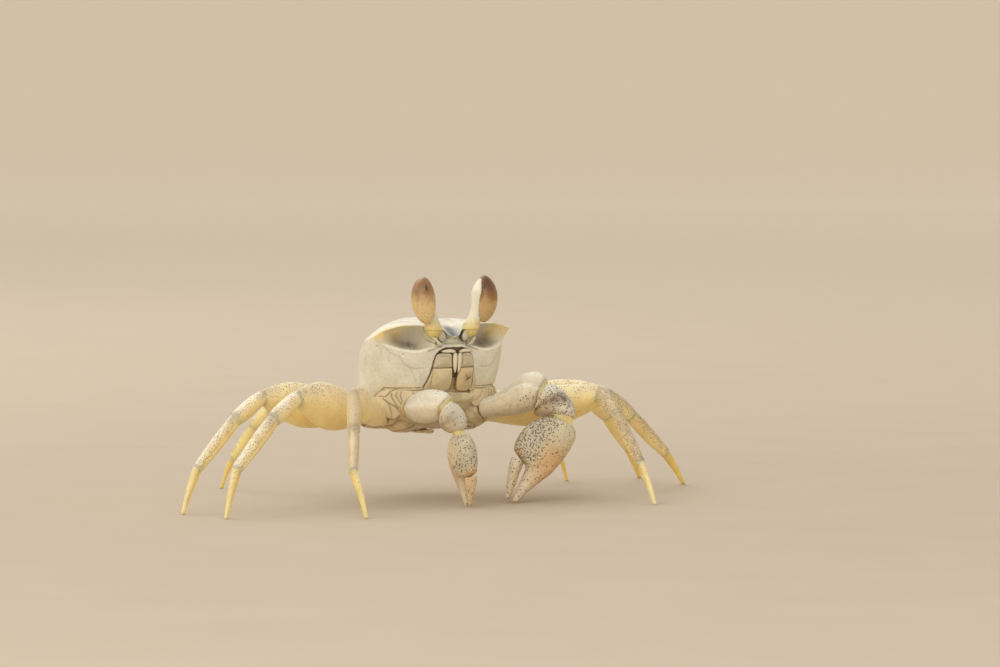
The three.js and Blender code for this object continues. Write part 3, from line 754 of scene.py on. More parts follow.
STRIP_HEIGHTS = [20.9, 21.8, 22.8, 24.0, 25.2]
CLEFT = [(2.5, 22.9), (3.1, 23.15), (3.5, 23.5), (3.9, 23.65)]
CLEFT_FORK = [(2.55, 24.1), (2.7, 23.7), (3.1, 23.3)]
DOOR_FOLD = [(1.1, 27.5), (2.0, 27.75), (3.2, 27.6)]
for label, sign in SIDES:
    outer = [(float(mouth_half_width(z)) - 0.03, z) for z in STRIP_HEIGHTS]
    inner = [(px - float(strip_width(z)), z) for px, z in reversed(outer)]
    strip = on_side(sign, outer + inner)

    def cleft(grid, sign=sign):
        """A branched crack in the lower door, in a brown patch, faint on the crab's right."""
        out, height = grid[..., 0] * sign, grid[..., 2]
        away = np.minimum(line_distance(out, height, CLEFT), 0.08 + line_distance(out, height, CLEFT_FORK))
        patch = bump(out - 3.1, 1.0) * bump(height - 23.5, 0.9)
        uneven = ease(0.25, 0.75, mottle(grid + 5, 0.35))
        return (0.80 * bump(away, 0.17) * uneven + 0.34 * patch) * (1.0 if sign > 0 else 0.08)

    def fold(grid, sign=sign):
        return 0.35 * bump(line_distance(grid[..., 0] * sign, grid[..., 2], DOOR_FOLD), 0.10)

    tan = {"cool": 0.0, "warm": 0.35 if sign > 0 else 0.15}
    for part, outline, proud, dome, marks, drawn in (
        ("lower", door_outline(sign, 20.85, 25.42, 0.8, 0.10), 0.60, 0.55, tan, cleft),
        ("upper", door_outline(sign, 25.46, 28.25, 0.10, 0.35), 0.58, 0.45, {"cool": 0.35}, fold),
        ("strip", strip, 0.62, 0.10, {}, None),
    ):
        name, node = f"mouth_{part}_{label}", f"maxilliped_{label}"
        cushion(name, outline, "underside", [node], proud, dome, marks, drawn, edge_ink=0.25)
print("mouth plates: three on each side")

# %% Palps in the gap between the doors
PALP_MIDDLE = 0.45  # x of the line between the two palps
PALP_HANGING = [
    (0.06, 27.8), (0.35, 28.35), (0.85, 28.25), (1.02, 27.5), (0.98, 26.4), (0.80, 25.3), (0.35, 24.35),
    (0.12, 25.0), (0.04, 26.4),
]
PALP_ARM = [
    (0.30, 28.55), (1.10, 28.95), (2.10, 29.0), (3.20, 28.75), (3.35, 28.45), (2.50, 28.32), (1.40, 28.30),
    (0.75, 28.25),
]
for label, sign in SIDES:
    for part, outline, proud in (("palp", PALP_HANGING, 0.75), ("palp_arm", PALP_ARM, 0.62)):
        placed = [(PALP_MIDDLE + px, z) for px, z in on_side(sign, outline)]
        cushion(
            f"{part}_{label}", placed, "underside", [f"maxilliped_{label}"], proud, 0.25,
            {"lit": 0.75, "cool": 0.0, "warm": 0.0}, edge_ink=0.60, side_shade=0.9,
        )
print("palps: a hanging tip and an arm on each side")

# %% [markdown]
# ## Tubes along a line
# The antennae and the soft feet of the eyestalks are tubes of changing thickness along a short curved line.
# One maker serves them all.

# %% Tapered tubes


def tube(name, points, widths, slot, stands_for, marks, flat=1.0, around=20, rim=0.0):
    """A tube through points in mm; widths are half thicknesses along it, and rim darkens its sides."""
    places = np.linspace(0, 1, 40)
    spine = through(points, places)
    half_width = through(np.asarray(widths, float)[:, None], places)[:, 0]
    ahead = unit(np.gradient(spine, axis=0))
    across = unit(np.cross(ahead, [0.05, 0.98, 0.2]))
    over = np.cross(across, ahead)
    angle = 2 * math.pi * np.arange(around) / around
    sideways, upwards = np.cos(angle)[None, :, None], np.sin(angle)[None, :, None]
    ring = across[:, None] * sideways + flat * over[:, None] * upwards
    blunt = np.sqrt(np.clip(1 - (2 * places - 1) ** 22, 0.02, 1))
    grid = spine[:, None] + ring * (half_width * blunt)[:, None, None]
    stain = marks.get("stain", 0) + rim * ease(0.80, 0.97, np.abs(np.cos(angle)))
    return make_piece(name, grid + BODY, slot, stands_for, marks | {"stain": stain})


ANTENNULE = [
    (2.75, 32.7), (2.2, 32.4), (1.75, 31.6), (1.75, 30.9),
    (2.2, 30.35), (2.9, 30.5), (3.3, 31.0), (3.25, 31.9),
]
ANTENNA = [
    (3.3, -13.1, 29.75), (3.6, -13.3, 30.2), (4.0, -13.2, 30.7), (4.4, -13.0, 31.1), (4.7, -12.8, 31.3),
]
LOBE = [(2.9, -13.1, 29.7), (3.2, -13.4, 29.95), (3.7, -13.3, 29.85)]
STALK_JOINT = [(0, 0, 1.3), (0, 0, 0), (-0.5, 0.5, -1.0), (-1.0, 1.4, -1.9)]  # from the foot of the stalk
stalk_rings = {}
for label, sign in SIDES:
    flip = [sign, 1, 1]
    cushion(
        f"antennule_base_{label}", on_side(sign, ANTENNULE), "feeler", [f"antennule_{label}"], 0.10, 0.35,
        {"lit": 0.35, "cool": 0.25}, edge_ink=0.9, side_shade=0.15,
    )
    for part, line, widths in (
        ("base", ANTENNA, [0.30, 0.46, 0.30, 0.40, 0.20, 0.10]), ("lobe", LOBE, [0.22, 0.34, 0.20]),
    ):
        tube(
            f"antenna_{part}_{label}", np.multiply(line, flip), widths, "feeler", [f"antenna_{label}"],
            {"lit": 0.35, "cool": 0.20, "warm": 0.10}, flat=0.7, rim=1.0,
        )
    stalk_rings[label] = rings_of(f"eyestalk_{label}", np.zeros(3))
    foot = stalk_rings[label][0].mean(axis=0) - BODY
    tube(
        f"stalk_joint_{label}", foot + np.multiply(STALK_JOINT, flip), [1.25, 1.55, 1.15, 0.5], "eyestalk",
        [f"eyestalk_{label}"], {"stain": 0.16, "warm": 0.75}, around=32,
    )
print("antennules, antennae and the joints of the stalks made")

# %% [markdown]
# ## Eyes
# A ghost crab's eye is a stalk with a long cornea wrapped round its outer face. The cornea is pale below and
# brown above, with a narrow dark slit. The stalk is drawn through the rings of its solid, and the
# cornea is an egg in the place of its own solid.

# %% Stalks and corneas
CORNEA_MIDDLE = np.array([7.0, -13.4, 38.6])
CORNEA_HALF = np.array([2.35, 1.95, 4.5])
CORNEA_CURL = 0.7  # how far its top and bottom bend back towards the stalk
CORNEA_TURN = math.radians(52)
CORNEA_LEAN = math.radians(6)
SLIT_FROM_VIEW = {"r": math.radians(24), "l": math.radians(-17)}
for label, sign in SIDES:
    grid, along = loft(stalk_rings[label], around=56, lip=0.3, step=0.16)
    up_share = along[:, None]
    grid = grid + normals_of(grid) * (0.05 * (mottle(grid, 0.6) - 0.5))[..., None]
    make_piece(
        f"stalk_{label}", grid, "eyestalk", [f"eyestalk_{label}"],
        {
            "stain": 0.30 * ease(0.93, 1.0, up_share), "cool": 0.15 * (1 - up_share),
            "warm": 0.90 * (1 - ease(0.0, 0.28, up_share)), "lit": 0.5 * ease(0.2, 0.6, up_share),
        },
    )
    rows, columns = 72, 72
    polar = np.linspace(0, math.pi, rows + 2)[1:-1, None]
    turn = 2 * math.pi * np.arange(columns)[None, :] / columns
    out = np.sin(polar)
    ball = np.stack([out * np.cos(turn), out * np.sin(turn), np.cos(polar) + 0 * turn], axis=-1)
    egg = ball * CORNEA_HALF * (1 - 0.05 * ball[..., 2:])
    egg[..., 1] += CORNEA_CURL * ball[..., 2] ** 2
    (cos_lean, sin_lean), (cos_turn, sin_turn) = (
        (math.cos(angle), sign * math.sin(angle)) for angle in (CORNEA_LEAN, CORNEA_TURN)
    )
    egg = egg @ np.array([[cos_lean, 0, -sin_lean], [0, 1, 0], [sin_lean, 0, cos_lean]])
    egg = egg @ np.array([[cos_turn, sin_turn, 0], [-sin_turn, cos_turn, 0], [0, 0, 1]])
    centre = BODY + CORNEA_MIDDLE * [sign, 1, 1]
    height = egg[..., 2] / CORNEA_HALF[2]
    view_turn = math.atan2(-math.cos(AZIMUTH), -math.sin(AZIMUTH)) + SLIT_FROM_VIEW[label]
    around_eye = wrapped(np.arctan2(egg[..., 1], egg[..., 0]) - view_turn)
    slit = ease(0.30, 0.62, np.exp(-((around_eye / 0.13) ** 2) - ((height - 0.50) / 0.16) ** 2 * 1.2))
    patch = 0.5 + 0.5 * np.cos(around_eye - (0.5 if sign > 0 else -0.3))
    uneven = height + 0.25 * (mottle(egg + 9, 0.8) - 0.5)
    brown = ease(-0.35, 0.45, uneven) * (0.70 + 0.30 * patch)
    brown = brown + 0.45 if sign > 0 else brown * 0.85
    dark = ease(-0.05, 0.70, uneven) * (0.35 + 0.65 * patch) * (1.0 if sign > 0 else 0.45)
    make_piece(
        f"cornea_eye_{label}", egg + centre, "cornea", [f"cornea_{label}"],
        {"slit": slit, "brown": brown, "height": height * 0.5 + 0.5, "dark": dark},
        (centre + egg[0].mean(axis=0), centre + egg[-1].mean(axis=0)),
    )
print("two stalks and two corneas")

# %% [markdown]
# ## Walking legs
# Each leg has four plates: the broad leaf-shaped merus, the short carpus, the long propodus and the pointed
# toe. They are lofted through the rings of their solids. The upper edge carries a crest and is pale, partly
# by its own colour and partly by painted highlight; the front faces are pitted, and there is a grey smudge
# on top of every joint.

# %% Paint and relief for limb plates
LEG_PARTS = ("merus", "carpus", "propodus", "dactyl")


def limb_frame(grid):
    """For each point of a limb plate: how far it is turned up, from -1 below to 1 on top, and forwards."""
    spine = grid.mean(axis=1)
    axis = unit(spine[-1] - spine[0])
    up = unit(np.array([0, 0, 1.0]) - axis * axis[2])
    ahead = np.cross(up, axis)
    if ahead[1] > 0:
        ahead = -ahead
    out = grid - spine[:, None]
    up, ahead = out @ up, out @ ahead
    return up / np.abs(up).max(axis=1, keepdims=True), ahead / np.abs(ahead).max(axis=1, keepdims=True)


def limb_plate(name, node, near, slot, style, around=56, step=0.3):
    """One plate of a limb through the rings of its solid. Returns the rings, from the end nearer near."""
    rings = rings_of(node, near)
    grid, along = loft(rings, around=around, lip=style["lip"], step=step)
    up, ahead = limb_frame(grid)
    t = along[:, None]
    normal = normals_of(grid)
    lump = mottle(grid, 0.45)
    crest = style.get("crest", 0.05) * bump(up - 0.97, 0.10)
    beads = ease(0.45, 0.85, mottle(grid, 0.33))
    ridge = 0.0
    for angle, turn in style.get("ridges", []):
        off = wrapped(np.arctan2(ahead, up) - math.radians(angle) - math.radians(turn) * (t - 0.5))
        ridge = np.maximum(ridge, bump(off, 0.10))
    relief = 0.8 * crest * (lump - 0.3) + style.get("rough", 0.03) * (lump - 0.5)
    relief = relief + 0.16 * ridge * (0.5 + beads) + style.get("grain", 0.0) * beads
    grid = grid + normal * relief[..., None]
    patchy = 0.25 * (mottle(grid, 2.2) - 0.5)
    marks = {
        "lit": style["lit"] * ease(0.45, 0.95, up + patchy) + 0.8 * ridge + style.get("lit_all", 0)
        + style.get("lit_base", 0) * (1 - ease(0.02, 0.12, t)),
        "warm": style["warm"] * (1 - 0.8 * ease(-0.5, 0.8, up + patchy)) + style.get("warm_all", 0),
        "cool": style.get("cool", 0) * ease(0.1, 0.9, up) + style.get("cool_low", 0),
        "pits": style["pits"](t, up + patchy, ahead),
        "stain": style["stain"](t, up, ahead) * (0.5 + 1.0 * mottle(grid, 0.55)),
    }
    groove = bump(up - 0.1, 0.12) * (np.abs(ahead) > 0.3)
    grid = grid - normal * (style.get("flute", 0) * groove)[..., None]
    make_piece(name, grid, slot, [node], marks)
    return rings


def smudge(t, up, start, end):
    """Dark on top near the ends of a plate."""
    return ease(0.15, 0.80, up) * (start * bump(t, 0.16) + end * bump(1 - t, 0.13))


LEG_STYLES = {
    "merus": {
        "lit": 0.45, "lit_base": 0.7, "warm": 0.62, "crest": 0.12, "lip": 0.30,
        "pits": lambda t, up, ahead: ease(0.02, 0.2, t)
        * (0.60 * ease(0.35, 0.85, up) + 0.22 * ease(-0.4, 0.4, up)),
        "stain": lambda t, up, ahead: 0.35 * smudge(t, up, 0, 0.8),
    },
    "carpus": {
        "lit": 0.75, "warm": 0.60, "lip": 0.18,
        "pits": lambda t, up, ahead: 0.60 * ease(-0.3, 0.6, up),
        "stain": lambda t, up, ahead: 0.45 * smudge(t, up, 0.6, 0.8),
    },
    "propodus": {
        "lit": 0.60, "warm": 0.80, "lip": 0.16, "flute": 0.10,
        "pits": lambda t, up, ahead: 0.80 * ease(-0.3, 0.5, up),
        "stain": lambda t, up, ahead: 0.45 * smudge(t, up, 0.9, 0.1) + 0.10 * ease(-0.2, 0.6, up),
    },
    "dactyl": {
        "lit": 0.25, "warm": 0.9, "warm_all": 0.15, "lip": 0.12, "flute": 0.12,
        "pits": lambda t, up, ahead: 0.20 * ease(0, 0.6, up) * (1 - ease(0.2, 0.6, t)),
        "stain": lambda t, up, ahead: 0.35 * ease(0.93, 1.0, t),
    },
}


def spotted(style):
    """A style with many more pits, for the plates that are dotted all over."""
    return {
        **style, "warm": style["warm"] * 0.75, "cool": 0.38, "lit": 0.25,
        "pits": lambda t, up, ahead: ease(-0.9, -0.2, up),
        "stain": lambda t, up, ahead: 0.22 * ease(-0.6, 0.3, up) + 0.5 * smudge(t, up, 0.4, 0.3),
    }


def tanned(style):
    """A browner style, for the short leg beside the small claw."""
    return {
        **style, "warm": style["warm"] * 0.7, "lit": style["lit"] * 0.6, "cool": 0.20, "cool_low": 0.30,
        "pits": lambda t, up, ahead: 0.12,
    }


# %% Make the legs
limb_ends = {}
hub = np.array(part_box("sternum")[0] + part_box("sternum")[1]) / 2 / MM
for leg in [f"leg_{s}{n}" for s in "rl" for n in "1234"]:
    near = hub
    limb_ends[leg] = []
    for part in LEG_PARTS:
        style = LEG_STYLES[part]
        if leg in ("leg_l2", "leg_l1") and part in ("carpus", "propodus"):
            style = spotted(style)
        if leg == "leg_r1" and part in ("carpus", "propodus"):
            style = tanned(style)
        slot = "toe" if part == "dactyl" else "leg"
        rings = limb_plate(f"{leg}_{part}_shell", f"{leg}_{part}", near, slot, style)
        limb_ends[leg].append(rings)
        near = rings[-1].mean(axis=0)
print("legs:", len(limb_ends), "with", len(LEG_PARTS), "plates each")

# %% [markdown]
# ## Claws
# The arm and wrist plates of the claws are limb plates too, rounder and rougher. A hand has a palm that
# narrows into a fixed finger, so its surface is measured: from a line through the middle of its solid, the
# distance to the solid's skin is read in many directions, smoothed, and drawn again as one flowing form.

# %% Measure a solid from a line inside it
from mathutils.bvhtree import BVHTree


def measured_rings(node, start, end, shares, sides):
    """Smooth rings round the line from start to end, at the distance where the node's solid ends."""
    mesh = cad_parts[node].data
    tree = BVHTree.FromPolygons([v.co / MM for v in mesh.vertices], [f.vertices[:] for f in mesh.polygons])
    across = unit(np.cross(unit(end - start), [0, 1.0, 0.1]))
    over = np.cross(unit(end - start), across)
    angle = 2 * math.pi * np.arange(sides) / sides
    out = across * np.cos(angle)[:, None] + over * np.sin(angle)[:, None]
    middles = start + (end - start) * shares[:, None]
    reach = np.zeros((len(shares), sides))
    for i, k in np.ndindex(reach.shape):
        hit = tree.ray_cast(Vector(middles[i]), Vector(out[k]))
        reach[i, k] = hit[3] if hit[0] is not None else (reach[i - 1, k] if i else 1.0)
    waves = np.fft.rfft(reach, axis=1)
    waves[:, 6:] = 0  # only the broad shape of each ring is kept
    reach = np.fft.irfft(waves, n=sides, axis=1)
    for _ in range(2):
        reach[1:-1] = 0.25 * reach[:-2] + 0.5 * reach[1:-1] + 0.25 * reach[2:]
    return middles[:, None] + out * reach[..., None]


# %% Arms, wrists, hands and movable fingers
CLAW_STYLES = {
    "merus": {
        "lit": 0.60, "lit_all": 0.30, "warm": 0.18, "cool": 0.25, "lip": 0.9, "rough": 0.10, "crest": 0.20,
        "grain": 0.06, "ridges": [(55, 30), (-50, -25)],
        "pits": lambda t, up, ahead: 0.16
        * ease(0.45, 0.8, t) * ease(0.2, 0.6, ahead) * (1 - ease(0.2, 0.6, up)),
        "stain": lambda t, up, ahead: 0.45 * bump(t - 1.0, 0.04),
    },
    "carpus": {
        "lit": 0.60, "lit_all": 0.15, "warm": 0.30, "cool": 0.22, "lip": 1.1, "rough": 0.12, "crest": 0.02,
        "grain": 0.06,
        "pits": lambda t, up, ahead: 0.60 * ease(-0.5, 0.2, up),
        "stain": lambda t, up, ahead: 0.72 * bump(t - 0.55, 0.14) * ease(-0.3, 0.4, ahead + 0.3 * up),
    },
    "finger": {
        "lit": 0.45, "warm": 0.45, "lip": 0.22, "rough": 0.05, "crest": 0.05, "grain": 0.03,
        "pits": lambda t, up, ahead: 0.25,
        "stain": lambda t, up, ahead: 0.2 * ease(0.9, 1, t),
    },
}
SMALL_CLAW = {  # what is plainer on the small claw
    "merus": {
        "lit_all": 0.60, "warm": 0.05, "grain": 0.08, "ridges": [],
        "pits": lambda t, up, ahead: 0.10 * ease(0.4, 0.8, t) * ease(0.0, 0.5, up),
    },
    "carpus": {
        "lit_all": 0.10, "cool": 0.60,
        "pits": lambda t, up, ahead: 0.14,
        "stain": lambda t, up, ahead: 0.45 * bump(t - 0.62, 0.20) * ease(-0.1, 0.6, ahead - 0.3 * up),
    },
    "finger": {},
}
claw_rings = {}
for claw in ("claw_l", "claw_r"):
    big = claw == "claw_l"
    near = hub
    styles = {part: style | ({} if big else SMALL_CLAW[part]) for part, style in CLAW_STYLES.items()}
    for part in ("merus", "carpus"):
        name = f"{claw}_{part}"
        rings = limb_plate(f"{name}_shell", name, near, "claw", styles[part], around=72, step=0.2)
        claw_rings[claw, part] = rings
        near = rings[-1].mean(axis=0)
    wrist = near
    hand = np.array([v.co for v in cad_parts[f"{claw}_hand"].data.vertices]) / MM
    tip = hand[hand[:, 2] < 0.05].mean(axis=0)
    rings = measured_rings(f"{claw}_hand", wrist, tip, np.linspace(0.035, 0.985, 34), 64)
    claw_rings[claw, "hand"] = rings
    grid, along = loft(rings, around=110, lip=0.5 if big else 0.3, step=0.14)
    axis = unit(tip - wrist)
    to_finger = rings_of(f"{claw}_finger", wrist)[0].mean(axis=0) - wrist
    to_finger = unit(to_finger - axis * (to_finger @ axis))
    rise = (grid - grid.mean(axis=1, keepdims=True)) @ to_finger
    rise = rise / np.abs(rise).max()
    share = along[:, None]
    lump = mottle(grid, 0.5)
    grid = grid + normals_of(grid) * (0.05 * (lump - 0.5) + 0.03 * ease(0.6, 0.9, lump))[..., None]
    dense = ease(-0.30, 0.40, rise + 0.30 * (mottle(grid, 2.5) - 0.5)) * (1 - ease(0.50, 0.64, share))
    rosy = (1 - ease(-0.6, 0.4, rise)) * ease(0.12, 0.45, share)
    hinge = ease(0.45, 0.85, rise) * bump(share - 0.54, 0.05)
    make_piece(
        f"{claw}_hand_shell", grid, "claw", [f"{claw}_hand"],
        {
            "pits": dense + 0.20 if big else 0.25 * dense + 0.10,
            "warm": 0.85 * rosy + hinge,
            "lit": 0.50 * (1 - ease(0.0, 0.14, np.abs(rise + 1.0))) + 0.30 * ease(0.62, 0.85, share),
            "cool": 0.45 * ease(-0.2, 0.5, rise) * (1 - ease(0.4, 0.6, share)),
        },
    )
    limb_plate(f"{claw}_finger_shell", f"{claw}_finger", wrist, "claw", styles["finger"], step=0.2)
print("two claws of four plates each")

# %% [markdown]
# ## Breast plate, hips and tail flap
# The breast plate and the stumps of the limbs are one solid. A copy of it is merged, rebuilt with even small
# faces and smoothed, and then its seams are cut: rings round every stump, and lines between the
# segments of the breast. The tail flap is lofted as the limbs are, with a groove between its segments.

# %% Hips and breast plate
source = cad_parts["sternum"]
bpy.ops.object.select_all(action="DESELECT")
breast = source.copy()
breast.data = source.data.copy()
for key in list(breast.keys()):
    del breast[key]
breast.parent = None
bpy.context.scene.collection.objects.link(breast)
breast.name = breast.data.name = "breast_plate"
bpy.context.view_layer.objects.active = breast
breast.select_set(True)
bpy.ops.object.mode_set(mode="EDIT")
bpy.ops.mesh.select_all(action="SELECT")
bpy.ops.mesh.remove_doubles(threshold=1e-6)
bpy.ops.object.mode_set(mode="OBJECT")
for kind, settings in (
    ("REMESH", {"mode": "VOXEL", "voxel_size": 0.22 * MM}),
    ("SMOOTH", {"factor": 0.5, "iterations": 14}),
):
    modifier = breast.modifiers.new(kind.lower(), kind)
    for key, value in settings.items():
        setattr(modifier, key, value)
    bpy.ops.object.modifier_apply(modifier=modifier.name)
places = np.array([v.co for v in breast.data.vertices]) / MM
normals = np.array([v.normal for v in breast.data.vertices])
HIP_SEAMS = ((-0.9, 0.50), (-2.6, 0.75), (-4.6, 0.65))  # mm along the limb from its first ring, and darkness
SEGMENT_SEAMS = (-7.6, -3.2, 1.4, 6.0)  # y of the seams between the segments, on the midline
first_plates = {leg: plates[0] for leg, plates in limb_ends.items()}
first_plates |= {claw: claw_rings[claw, "merus"] for claw in ("claw_l", "claw_r")}
seam = np.zeros(len(places))
for limb, rings in first_plates.items():
    base = rings[0].mean(axis=0)
    direction = unit(rings[1].mean(axis=0) - base)
    away = places - base
    along = away @ direction
    from_axis = np.linalg.norm(away - along[:, None] * direction, axis=1)
    on_stump = (1 - ease(3.2, 4.6, from_axis)) * (along > -7)
    faint = 1.0 if limb in limb_ends else 0.45
    for where, dark in HIP_SEAMS:
        seam = np.maximum(seam, faint * dark * bump(along - where, 0.16) * on_stump)
local = places - BODY
aside = np.abs(local[:, 0])
under = ease(0.1, 0.6, -normals[:, 2]) * (1 - ease(6.5, 8.0, aside))
for where in SEGMENT_SEAMS:
    seam = np.maximum(seam, 0.6 * bump(local[:, 1] - where - 0.10 * aside, 0.18) * under)
ribs = ease(0.45, 0.75, mottle(local * [0.5, 1.6, 1.6], 0.9))
places = places + normals * (-0.22 * seam + 0.05 * (ribs - 0.5))[:, None]
breast.data.vertices.foreach_set("co", (places * MM).ravel())
paint(breast, "stain", np.clip(seam + 0.18 * ribs, 0, 1))
paint(breast, "warm", 0.5 * ease(6, 11, aside))
paint(breast, "lit", 0.35 * ease(0.2, 0.9, normals[:, 2]))
finish_piece(breast, "underside", ["sternum"])
print("breast plate:", len(breast.data.polygons), "faces")

# %% Folds of skin under the face
FOLD_OUTLINE = [
    (4.9, 21.7), (7.5, 21.7), (10.2, 21.6), (11.6, 21.4), (12.6, 20.9), (13.3, 19.8), (13.2, 18.4),
    (11.8, 16.2), (10.4, 15.8), (9.2, 16.8), (7.5, 17.5), (5.6, 18.0), (4.7, 19.6),
]
FOLD_LINES = [  # darkness, and points as distance from the midline and height
    (0.75, [(12.8, 20.0), (11.9, 20.0), (11.3, 21.0), (10.6, 21.4), (8.9, 21.3), (7.6, 21.15), (5.1, 21.3)]),
    (0.70, [(11.2, 20.7), (11.1, 19.8), (10.5, 18.7), (10.0, 17.9)]),
    (0.60, [(10.2, 20.8), (10.5, 20.2), (9.8, 19.0), (9.0, 17.8)]),
    (0.60, [(9.5, 20.9), (9.7, 20.3), (9.5, 19.4), (9.0, 18.4)]),
    (0.80, [(12.3, 19.6), (11.5, 18.8), (10.5, 18.1), (9.3, 16.9), (8.7, 16.2)]),
    (0.60, [(12.3, 19.6), (11.5, 18.7), (11.0, 16.9), (10.9, 15.6)]),
    (0.50, [(7.6, 20.9), (7.2, 19.8), (6.2, 19.0), (5.2, 18.8)]),
]


def fold_plane(flat):
    """How far back the folds lie, further out to the sides and lower down."""
    out = np.interp(np.abs(flat[:, 0]), [4.8, 7.5, 10.9, 13.2], [-10.9, -10.2, -8.6, -6.2])
    return out + 0.10 * (21.5 - flat[:, 1])


def fold_ink(grid):
    drawn = 0.0
    for darkness, points in FOLD_LINES:
        away = line_distance(np.abs(grid[..., 0]), grid[..., 2], points)
        drawn = np.maximum(drawn, darkness * bump(away, 0.10))
    return drawn


for label, sign in SIDES:
    cushion(
        f"hip_fold_{label}", on_side(sign, FOLD_OUTLINE), "underside", ["sternum"], 0.1, 0.3,
        {"lit": 0.30, "cool": 0.0, "warm": 0.30}, fold_ink, edge_ink=0.2, plane=fold_plane,
    )
# The sill closes the gap below and behind the doors of the mouth.
SILL = [
    (-4.6, 21.2), (-2.0, 22.9), (0.3, 23.5), (2.4, 22.9), (4.6, 21.2), (4.2, 20.1), (0.0, 19.8), (-4.2, 20.1),
]
cushion("mouth_sill", SILL, "underside", ["sternum"], -0.25, 0.0, {"cool": 0.1, "warm": 0.4, "stain": 0.40})
print("two folds of skin under the face, and the sill of the mouth")

# %% Tail flap
TAIL_SEAMS = (0.10, 0.25, 0.42, 0.58, 0.73, 0.87)  # as shares of its length
grid, along = loft(rings_of("abdomen", np.array([0, 20, 20.0])), around=72, lip=0.15, step=0.25)
groove = sum(bump(along[:, None] - where, 0.008) for where in TAIL_SEAMS)
grid = grid - normals_of(grid) * (0.10 * groove + 0.03 * mottle(grid, 0.5))[..., None]
marks = {"stain": 0.6 * groove.clip(0, 1), "warm": 0.2, "lit": 0.1}
make_piece("tail_flap", grid, "underside", ["abdomen"], marks)
print("tail flap with", len(TAIL_SEAMS) + 1, "segments")

# %% [markdown]
# ## Soft joints
# Between two hard plates lies a soft skin that lets the joint bend. It is the yellowest part of the crab.
# Each one is a short tube from inside one plate to inside the next, just narrower than their lips.

# %% Joint membranes


def membrane(name, before, after, tuck=0.7, fit=0.95, wrinkles=0.0, yellow=0.6):
    """A soft tube from inside the last ring of one plate to inside the first ring of the next."""
    count = 40
    halves = []
    for ring, further in ((before[-1], before[-2]), (after[0], after[1])):
        middle = ring.mean(axis=0)
        way = unit(further.mean(axis=0) - middle) * tuck
        ring = closed_outline(ring, count)
        middle = ring.mean(axis=0)
        sizes = ((fit * 0.80, 1.6), (fit, 0.5), (fit, 0.0))
        halves.append([middle + (ring - middle) * size + way * shift for size, shift in sizes])
    stack = aligned(halves[0] + halves[1][::-1])
    grid, along = loft(np.array(stack), around=count, lip=0.15, step=0.16)
    grid = grid + normals_of(grid) * (wrinkles * np.sin(along * 46))[:, None, None]
    top = ease(0.2, 0.9, limb_frame(grid)[0])
    marks = {"warm": yellow - 0.3 * top, "lit": (1 - yellow) * top, "stain": 0.25 * top}
    make_piece(name, grid, "leg", [], marks)


joints = 0
for leg, plates in limb_ends.items():
    for part, before, after in zip(LEG_PARTS, plates, plates[1:]):
        membrane(f"{leg}_{part}_joint", before, after)
        joints += 1
for claw in ("claw_l", "claw_r"):
    arm, wrist, palm = (claw_rings[claw, part] for part in ("merus", "carpus", "hand"))
    membrane(f"{claw}_elbow", arm, wrist, tuck=1.2, fit=0.84, wrinkles=0.04, yellow=1.0)
    membrane(f"{claw}_wrist", wrist, palm, tuck=0.9, fit=0.82, wrinkles=0.04, yellow=1.0)
    joints += 2
print("soft joints:", joints)

# %% [markdown]
# ## Shell finish
# Crab shell is thin and lets light through: warm yellow where a plate is thin, cream where it is thick, and
# pale on top, partly by its own colour and partly by painted highlight. All plates share one finish, a node
# group that reads the painted marks and adds mottle, fine granules and pits. Each material gives the group
# its own colours.

# %% Makers of nodes


def feed(tree, target, inputs):
    """Gives a node its inputs by name or number. Each is a constant or the output of another node."""
    for socket, value in inputs.items():
        if isinstance(value, bpy.types.NodeSocket):
            tree.links.new(value, target.inputs[socket])
        else:
            target.inputs[socket].default_value = value


def node(tree, kind, inputs, **settings):
    """A new shader node with its settings and inputs."""
    made = tree.nodes.new("ShaderNode" + kind)
    for key, value in settings.items():
        setattr(made, key, value)
    feed(tree, made, inputs)
    return made


def mark(tree, label):
    return node(tree, "Attribute", {}, attribute_name=label).outputs["Fac"]


def noise(tree, where, scale, detail):
    return node(tree, "TexNoise", {"Vector": where, "Scale": scale, "Detail": detail}).outputs["Fac"]


def mixed(tree, a, b, share, kind="MIX"):
    return node(tree, "Mix", {6: a, 7: b, 0: share}, data_type="RGBA", blend_type=kind).outputs[2]


def ranged(tree, value, low, high, to_low=0.0, to_high=1.0):
    limits = {"From Min": low, "From Max": high, "To Min": to_low, "To Max": to_high}
    return node(tree, "MapRange", {"Value": value, **limits}).outputs["Result"]


def maths(tree, kind, a, b):
    return node(tree, "Math", {0: a, 1: b}, operation=kind).outputs[0]


def new_material(name):
    """A new material with its node tree and its shader."""
    material = bpy.data.materials.new(name)
    material.use_nodes = True
    return material, material.node_tree, material.node_tree.nodes["Principled BSDF"]


def srgb(*screen):
    """A colour given as three screen values from 0 to 255, as Blender's linear values."""
    shares = [value / 255 for value in screen]
    return (*(s / 12.92 if s <= 0.04045 else ((s + 0.055) / 1.055) ** 2.4 for s in shares), 1.0)


# %% Node group for shell
COLOURS = ("Base", "Warm", "Cool", "Lit", "Stain", "Pit")


